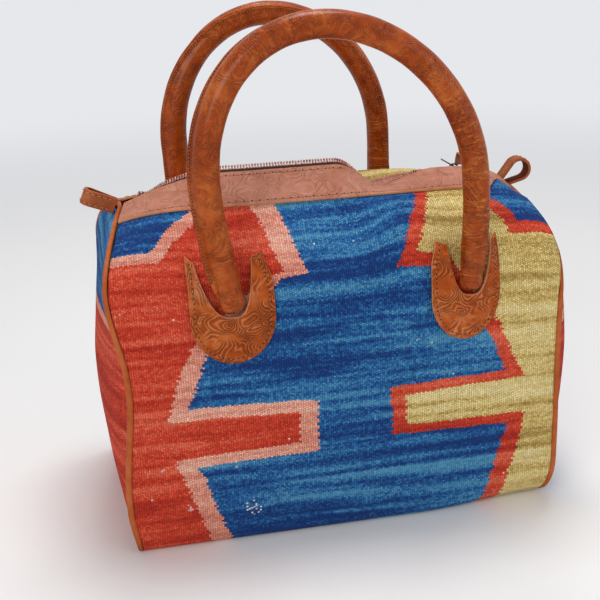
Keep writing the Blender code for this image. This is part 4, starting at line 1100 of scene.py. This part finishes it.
def buildHandle(name, side, body, nodes):
    frames, rows = handleFrames(side), []

    def ring(centre, outward, across, outline, along):
        around, row, last = 0.0, [], outline[0]
        for u, v in outline:
            around += math.hypot(u - last[0], v - last[1])
            last = (u, v)
            row.append((centre + outward * u + across * v, (along, around)))
        return row

    for (centre, _, outward, across, full), run in zip(frames, runs([f[0] for f in frames])):
        pinch = 1 + handle["uneven"] * math.sin(run * 190) * math.sin(run * 61)
        outline = [(u * pinch, v * pinch) for u, v in handleOutline(full)]
        rows.append(ring(centre, outward, across, outline, run))
    for end, at in ((0, -1), (-1, 1)):  # rounded ends
        centre, along, outward, across, full = frames[end]
        for angle in (25, 50, 70, 84):
            shrink, reach = math.cos(math.radians(angle)), math.sin(math.radians(angle))
            outline = [(u * shrink, v * shrink) for u, v in handleOutline(full)]
            row = ring(centre + along * at * handle["endDeep"] * reach, outward, across,
                       outline, run if at > 0 else 0.0)
            rows.insert(len(rows) if at > 0 else 0, row)
    obj = gridMesh(name, rows, flip=side == back, closed=True)
    finishPiece(obj, body, handleLeather, nodes)
    lipAt = handle["radius"] + handle["lip"] * handle["seamAt"]
    for face, label in ((-1, "Far"), (1, "Near")):
        points = [c + o * lipAt * mix(0.9, 1, f) + n * face * handle["lipThick"] / 2 * 1.04
                  for c, _, o, n, f in frames]
        normals = [n * face for _, _, _, n, _ in frames]
        seam = seamAlong(points, normals, handle["pitch"], handle["bare"])
        stitches(f"{name}Stitches{label}", seam, body, handleThread, handle["stitch"],
                 handle["thread"])


buildHandle("frontRolledHandle", front, "front_handle", ("front_handle",))
buildHandle("backRolledHandle", back, "back_handle", ("back_handle",))
for nodeName in ("front_handle_core", "back_handle_core"):
    repaint(nodeName, cordCloth)
print("handles ready")


# Horseshoe patches over the handle ends

patch = {
    "half": {-1: 0.0325, 1: 0.0280}, "bottom": 0.160, "top": 0.2410, "slant": 0.005,
    "round": 0.036, "thickness": 0.0022, "stand": 0.0009, "notchDrop": 0.0075,
    "outerHorn": 0.0062, "innerHorn": {-1: 0.0150, 1: 0.0140}, "lift": 0.0075,
    "notchOffset": 0.0025, "inset": 0.0036, "pitch": 0.0038, "stitch": 0.0025,
    "thread": 0.00034, "hole": 0.00078, "bare": 0.003, "curve": {1: 3.0, -1: 3.6},
    "steps": 110, "across": 14, "soft": 0.0005,
}


def patchEdges(t, end, half, offset):
    p = patch
    straight = p["top"] - p["bottom"] - p["round"]
    roundLength = math.pi / 2 * (half + p["round"])
    along = t * (2 * straight + roundLength)
    if along < straight:
        outer = (half, p["top"] - along)
    elif along < straight + roundLength:
        a = math.pi * (along - straight) / roundLength
        outer = (half * math.cos(a), p["bottom"] + p["round"] - p["round"] * math.sin(a))
    else:
        outer = (-half, p["bottom"] + p["round"] + along - straight - roundLength)
    s = 1 - 2 * t
    reach = half - p["outerHorn"] - offset if s > 0 else half - p["innerHorn"][end] + offset
    bottom = handle["seat"] - p["notchDrop"]
    curve = p["curve"][1 if s > 0 else -1]
    notch = (reach * s, bottom + (p["top"] - p["slant"] - bottom) * abs(s) ** curve)
    if s < 0:  # the inner horn has a round tip
        tip = smooth((-s - 0.72) / 0.28)
        outer = (mix(outer[0], notch[0], 0.35 * tip ** 2), outer[1] - 0.0015 * tip)
    return (end * (outer[0] - offset), outer[1]), (end * notch[0], notch[1])


def buildPatch(name, side, end, node):
    steps, across = patch["steps"], patch["across"]
    middle = handleBase(side, end).x
    half = patch["half"][end]
    offset = patch["notchOffset"] if side == front and end > 0 else 0.0
    rows, seamPoints, seamNormals = [], [], []
    for i in range(steps + 1):
        t = i / steps
        outer, notch = patchEdges(t, end, half, offset)

        def spot(s, proud=0.0):  # s runs from the outer edge to the notch
            lift = patch["lift"] * s * s * (0.25 + 0.75 * math.sin(math.pi * t) ** 2)
            x, z = mix(outer[0], notch[0], s), mix(outer[1], notch[1], s)
            return facePoint(middle + x, z, side, patch["stand"] + lift + proud), x, z

        row = []
        for j in range(across + 1):
            p, x, z = spot(j / across)
            row.append((p, (x + 0.1 + 0.3 * (side > 0) + 0.1 * end, z)))
        rows.append(row)
        width = math.hypot(outer[0] - notch[0], outer[1] - notch[1])
        s = min(0.5, patch["inset"] / max(width, 1e-6))
        low, high = spot(s)[0], spot(s, 0.001)[0]
        normal = (high - low).normalized()
        seamPoints.append(low + normal * patch["thickness"])
        seamNormals.append(normal)
    obj = gridMesh(name, rows, flip=side * end > 0)
    thicken(obj, patch["thickness"], 1.0, rim=1)
    roundEdges(obj, patch["soft"])
    finishPiece(obj, "bag", [patchLeather, rawEdge], (node,))
    seam = seamAlong(seamPoints, seamNormals, patch["pitch"], patch["bare"])
    stitches(name + "Stitches", seam, "bag", patchThread, patch["stitch"], patch["thread"],
             holeSize=patch["hole"])


for side, sideName in ((front, "front"), (back, "back")):
    for end, endName in ((-1, "left"), (1, "right")):
        buildPatch(f"{sideName}{endName.title()}HandlePatch", side, end,
                   f"{sideName}_{endName}_patch")
print("patches ready")


# Leather loops at both ends

loop = {
    "width": 0.013, "thick": 0.0026, "seat": 0.0027, "inset": 0.0024, "pitch": 0.0050,
    "stitch": 0.0036, "thread": 0.00034, "bare": 0.004, "turn": 108, "soft": 0.0006,
    "left": {"length": 0.028, "opening": 0.0080, "rise": 24.0, "lift": -0.0003, "offset": 0.006,
             "inset": 0.0},
    "right": {"length": 0.037, "opening": 0.0150, "rise": 34.0, "lift": -0.0004, "offset": 0.0,
              "inset": 0.016},
}


def buildLoop(name, key, place, node):
    size, thick, width = loop[key], loop["thick"], loop["width"]
    radius = size["opening"] / 2 + thick / 2
    far = size["length"] - radius - thick / 2
    root = [(0.0, -thick * 0.55), (0.002, -thick * 0.56), (0.0045, -thick * 0.62)]
    path = list(root)
    for i in range(41):
        a = math.radians(mix(-loop["turn"], loop["turn"], i / 40))
        path.append((far + radius * math.cos(a), radius * math.sin(a)))
    path += [(x, -y) for x, y in root[::-1]]
    rows, run, seams = [], 0.0, ([], [])
    for i, (x, y) in enumerate(path):
        a, b = path[max(0, i - 1)], path[min(len(path) - 1, i + 1)]
        span = math.hypot(b[0] - a[0], b[1] - a[1])
        nx, ny = (b[1] - a[1]) / span, -(b[0] - a[0]) / span
        if i:
            run += math.hypot(x - path[i - 1][0], y - path[i - 1][1])
        rows.append([(place @ Vector((x - nx * thick / 2, y - ny * thick / 2, w)), (run, w + 0.05))
                     for w in (mix(-0.5, 0.5, j / 8) * width for j in range(9))])
        for seam, edge in zip(seams, (-1, 1)):
            w = edge * (width / 2 - loop["inset"])
            p = place @ Vector((x + nx * thick / 2, y + ny * thick / 2, w))
            q = place @ Vector((x + nx, y + ny, w))
            seam.append((p, (q - place @ Vector((x, y, w))).normalized()))
    obj = gridMesh(name, rows, flip=True)
    # the solidify's material offset gives the offset face the darker loop leather, painted shade
    # meant for the inside of the loop
    thicken(obj, thick, 1.0, rim=0, outer=1)
    roundEdges(obj, loop["soft"])
    finishPiece(obj, "bag", [loopLeather, loopInsideShade], (node,))
    for seam, label in zip(seams, ("Low", "High")):
        spots = seamAlong([p for p, _ in seam], [n for _, n in seam], loop["pitch"], loop["bare"])
        stitches(f"{name}Stitches{label}", spots, "bag", tanThread, loop["stitch"], loop["thread"])


def loopPlace(end, key):
    s, size = shape, loop[key]
    seam = s["piping"] + s["gap"] + loop["seat"]
    rise = s["bandWidth"] * math.sin(math.radians(s["endLean"])) + size["lift"]
    spot = Vector((end * (halfLength(s["bandHeight"], end) + seam - size["inset"]),
                   -size["offset"],
                   s["bandHeight"] - s["ends"][end]["drop"] + rise))
    turn = Euler((0, math.radians(-size["rise"]), math.pi)) if end < 0 \
        else Euler((math.pi / 2, math.radians(-size["rise"]), 0))
    return Matrix.Translation(spot) @ turn.to_matrix().to_4x4()


buildLoop("leftEndLoop", "left", loopPlace(-1, "left"), "left_loop")
buildLoop("rightEndLoop", "right", loopPlace(1, "right"), "right_loop")
print("loops ready")


# Stage: a pale floor, soft light, and the photograph's camera

stage = {
    "floor": rgb(240, 238, 235), "floorPale": rgb(246, 244, 241), "backdrop": rgb(230, 232, 236),
    "world": (0.90, 0.93, 1.0, 1.0), "worldStrength": 0.34, "half": 40.0, "below": 0.0002,
    "lamps": [  # place, aim, size, strength, colour
        ((-1.5, -2.1, 1.25), (0, 0, 0.16), 1.4, 29.0, (1.0, 0.97, 0.93)),
        ((1.6, -1.6, 1.0), (0, 0, 0.16), 1.6, 10.0, (0.96, 0.98, 1.0)),
        ((0.15, 0.30, 1.9), (0, 0, 0.25), 0.8, 22.0, (0.97, 0.98, 1.0)),
    ],
}


def buildStage():
    look = Look("floorPaint", roughness=0.9, Specular_IOR_Level=0.2)
    x, y, z = look.solid()
    soft = look.noise(look.vector(x, y, z), 3, 2, 0.5)
    look.feed("Base Color", look.mixed(soft, stage["floor"], stage["floorPale"]))
    away = (x * x + y * y).calc("SQRT").ease(0.5, 2.2)  # far off it turns into the backdrop
    glow = look.node("Emission", {}, {"Color": stage["backdrop"], "Strength": 1.0})
    both = look.node("MixShader", {}, {0: away, 1: Wire(look, look.shader.outputs[0]), 2: glow})
    look.tree.links.new(both.socket, look.tree.nodes["Material Output"].inputs["Surface"])
    size = stage["half"]
    corners = [(-size, -size, 0), (size, -size, 0), (size, size, 0), (-size, size, 0)]
    floor = addMesh("floor", corners, [(0, 1, 2, 3)])
    floor.location.z = -stage["below"]
    floor.data.materials.append(look.material)
    for i, (place, aim, size, strength, colour) in enumerate(stage["lamps"]):
        lamp = bpy.data.lights.new(f"lamp{i}", "AREA")
        lamp.size = size
        lamp.energy = strength
        lamp.color = colour
        holder = bpy.data.objects.new(f"lamp{i}", lamp)
        holder.location = place
        holder.rotation_euler = (Vector(aim) - Vector(place)).to_track_quat("-Z", "Y").to_euler()
        bpy.context.scene.collection.objects.link(holder)
    world = bpy.data.worlds.new("studio")
    world.use_nodes = True
    nodes, links = world.node_tree.nodes, world.node_tree.links
    sky, seen = nodes["Background"], nodes.new("ShaderNodeBackground")
    sky.inputs["Color"].default_value = stage["world"]
    sky.inputs["Strength"].default_value = stage["worldStrength"]
    seen.inputs["Color"].default_value = stage["backdrop"]
    rays, choose = nodes.new("ShaderNodeLightPath"), nodes.new("ShaderNodeMixShader")
    seenBy = rays.outputs["Is Camera Ray"]
    for ray in ("Is Glossy Ray", "Is Transmission Ray"):
        either = nodes.new("ShaderNodeMath")
        either.operation = "MAXIMUM"
        links.new(seenBy, either.inputs[0])
        links.new(rays.outputs[ray], either.inputs[1])
        seenBy = either.outputs[0]
    links.new(seenBy, choose.inputs[0])
    links.new(sky.outputs[0], choose.inputs[1])
    links.new(seen.outputs[0], choose.inputs[2])
    links.new(choose.outputs[0], nodes["World Output"].inputs["Surface"])
    bpy.context.scene.world = world


view = {"eye": (-0.18767, -0.86144, 0.47583), "yaw": -11.0767, "pitch": 19.2814, "roll": -1.9451,
        "lens": 64.33, "sensor": 36, "near": 0.01, "far": 50}


def buildCamera():
    yaw, pitch, roll = (math.radians(view[k]) for k in ("yaw", "pitch", "roll"))
    ahead = Vector((-math.sin(yaw) * math.cos(pitch), math.cos(yaw) * math.cos(pitch),
                    -math.sin(pitch)))
    level = Vector((math.cos(yaw), math.sin(yaw), 0))
    up = level.cross(ahead)
    right = level * math.cos(roll) + up * math.sin(roll)
    top = up * math.cos(roll) - level * math.sin(roll)
    lens = bpy.data.cameras.new("camera")
    lens.lens = view["lens"]
    lens.sensor_width = view["sensor"]
    lens.clip_start, lens.clip_end = view["near"], view["far"]
    camera = bpy.data.objects.new("camera", lens)
    turn = Matrix((right, top, -ahead)).transposed()
    camera.matrix_world = Matrix.Translation(Vector(view["eye"])) @ turn.to_4x4()
    bpy.context.scene.collection.objects.link(camera)
    bpy.context.scene.camera = camera


buildStage()
buildCamera()
bpy.context.scene.view_settings.view_transform = "Standard"
print("stage ready")
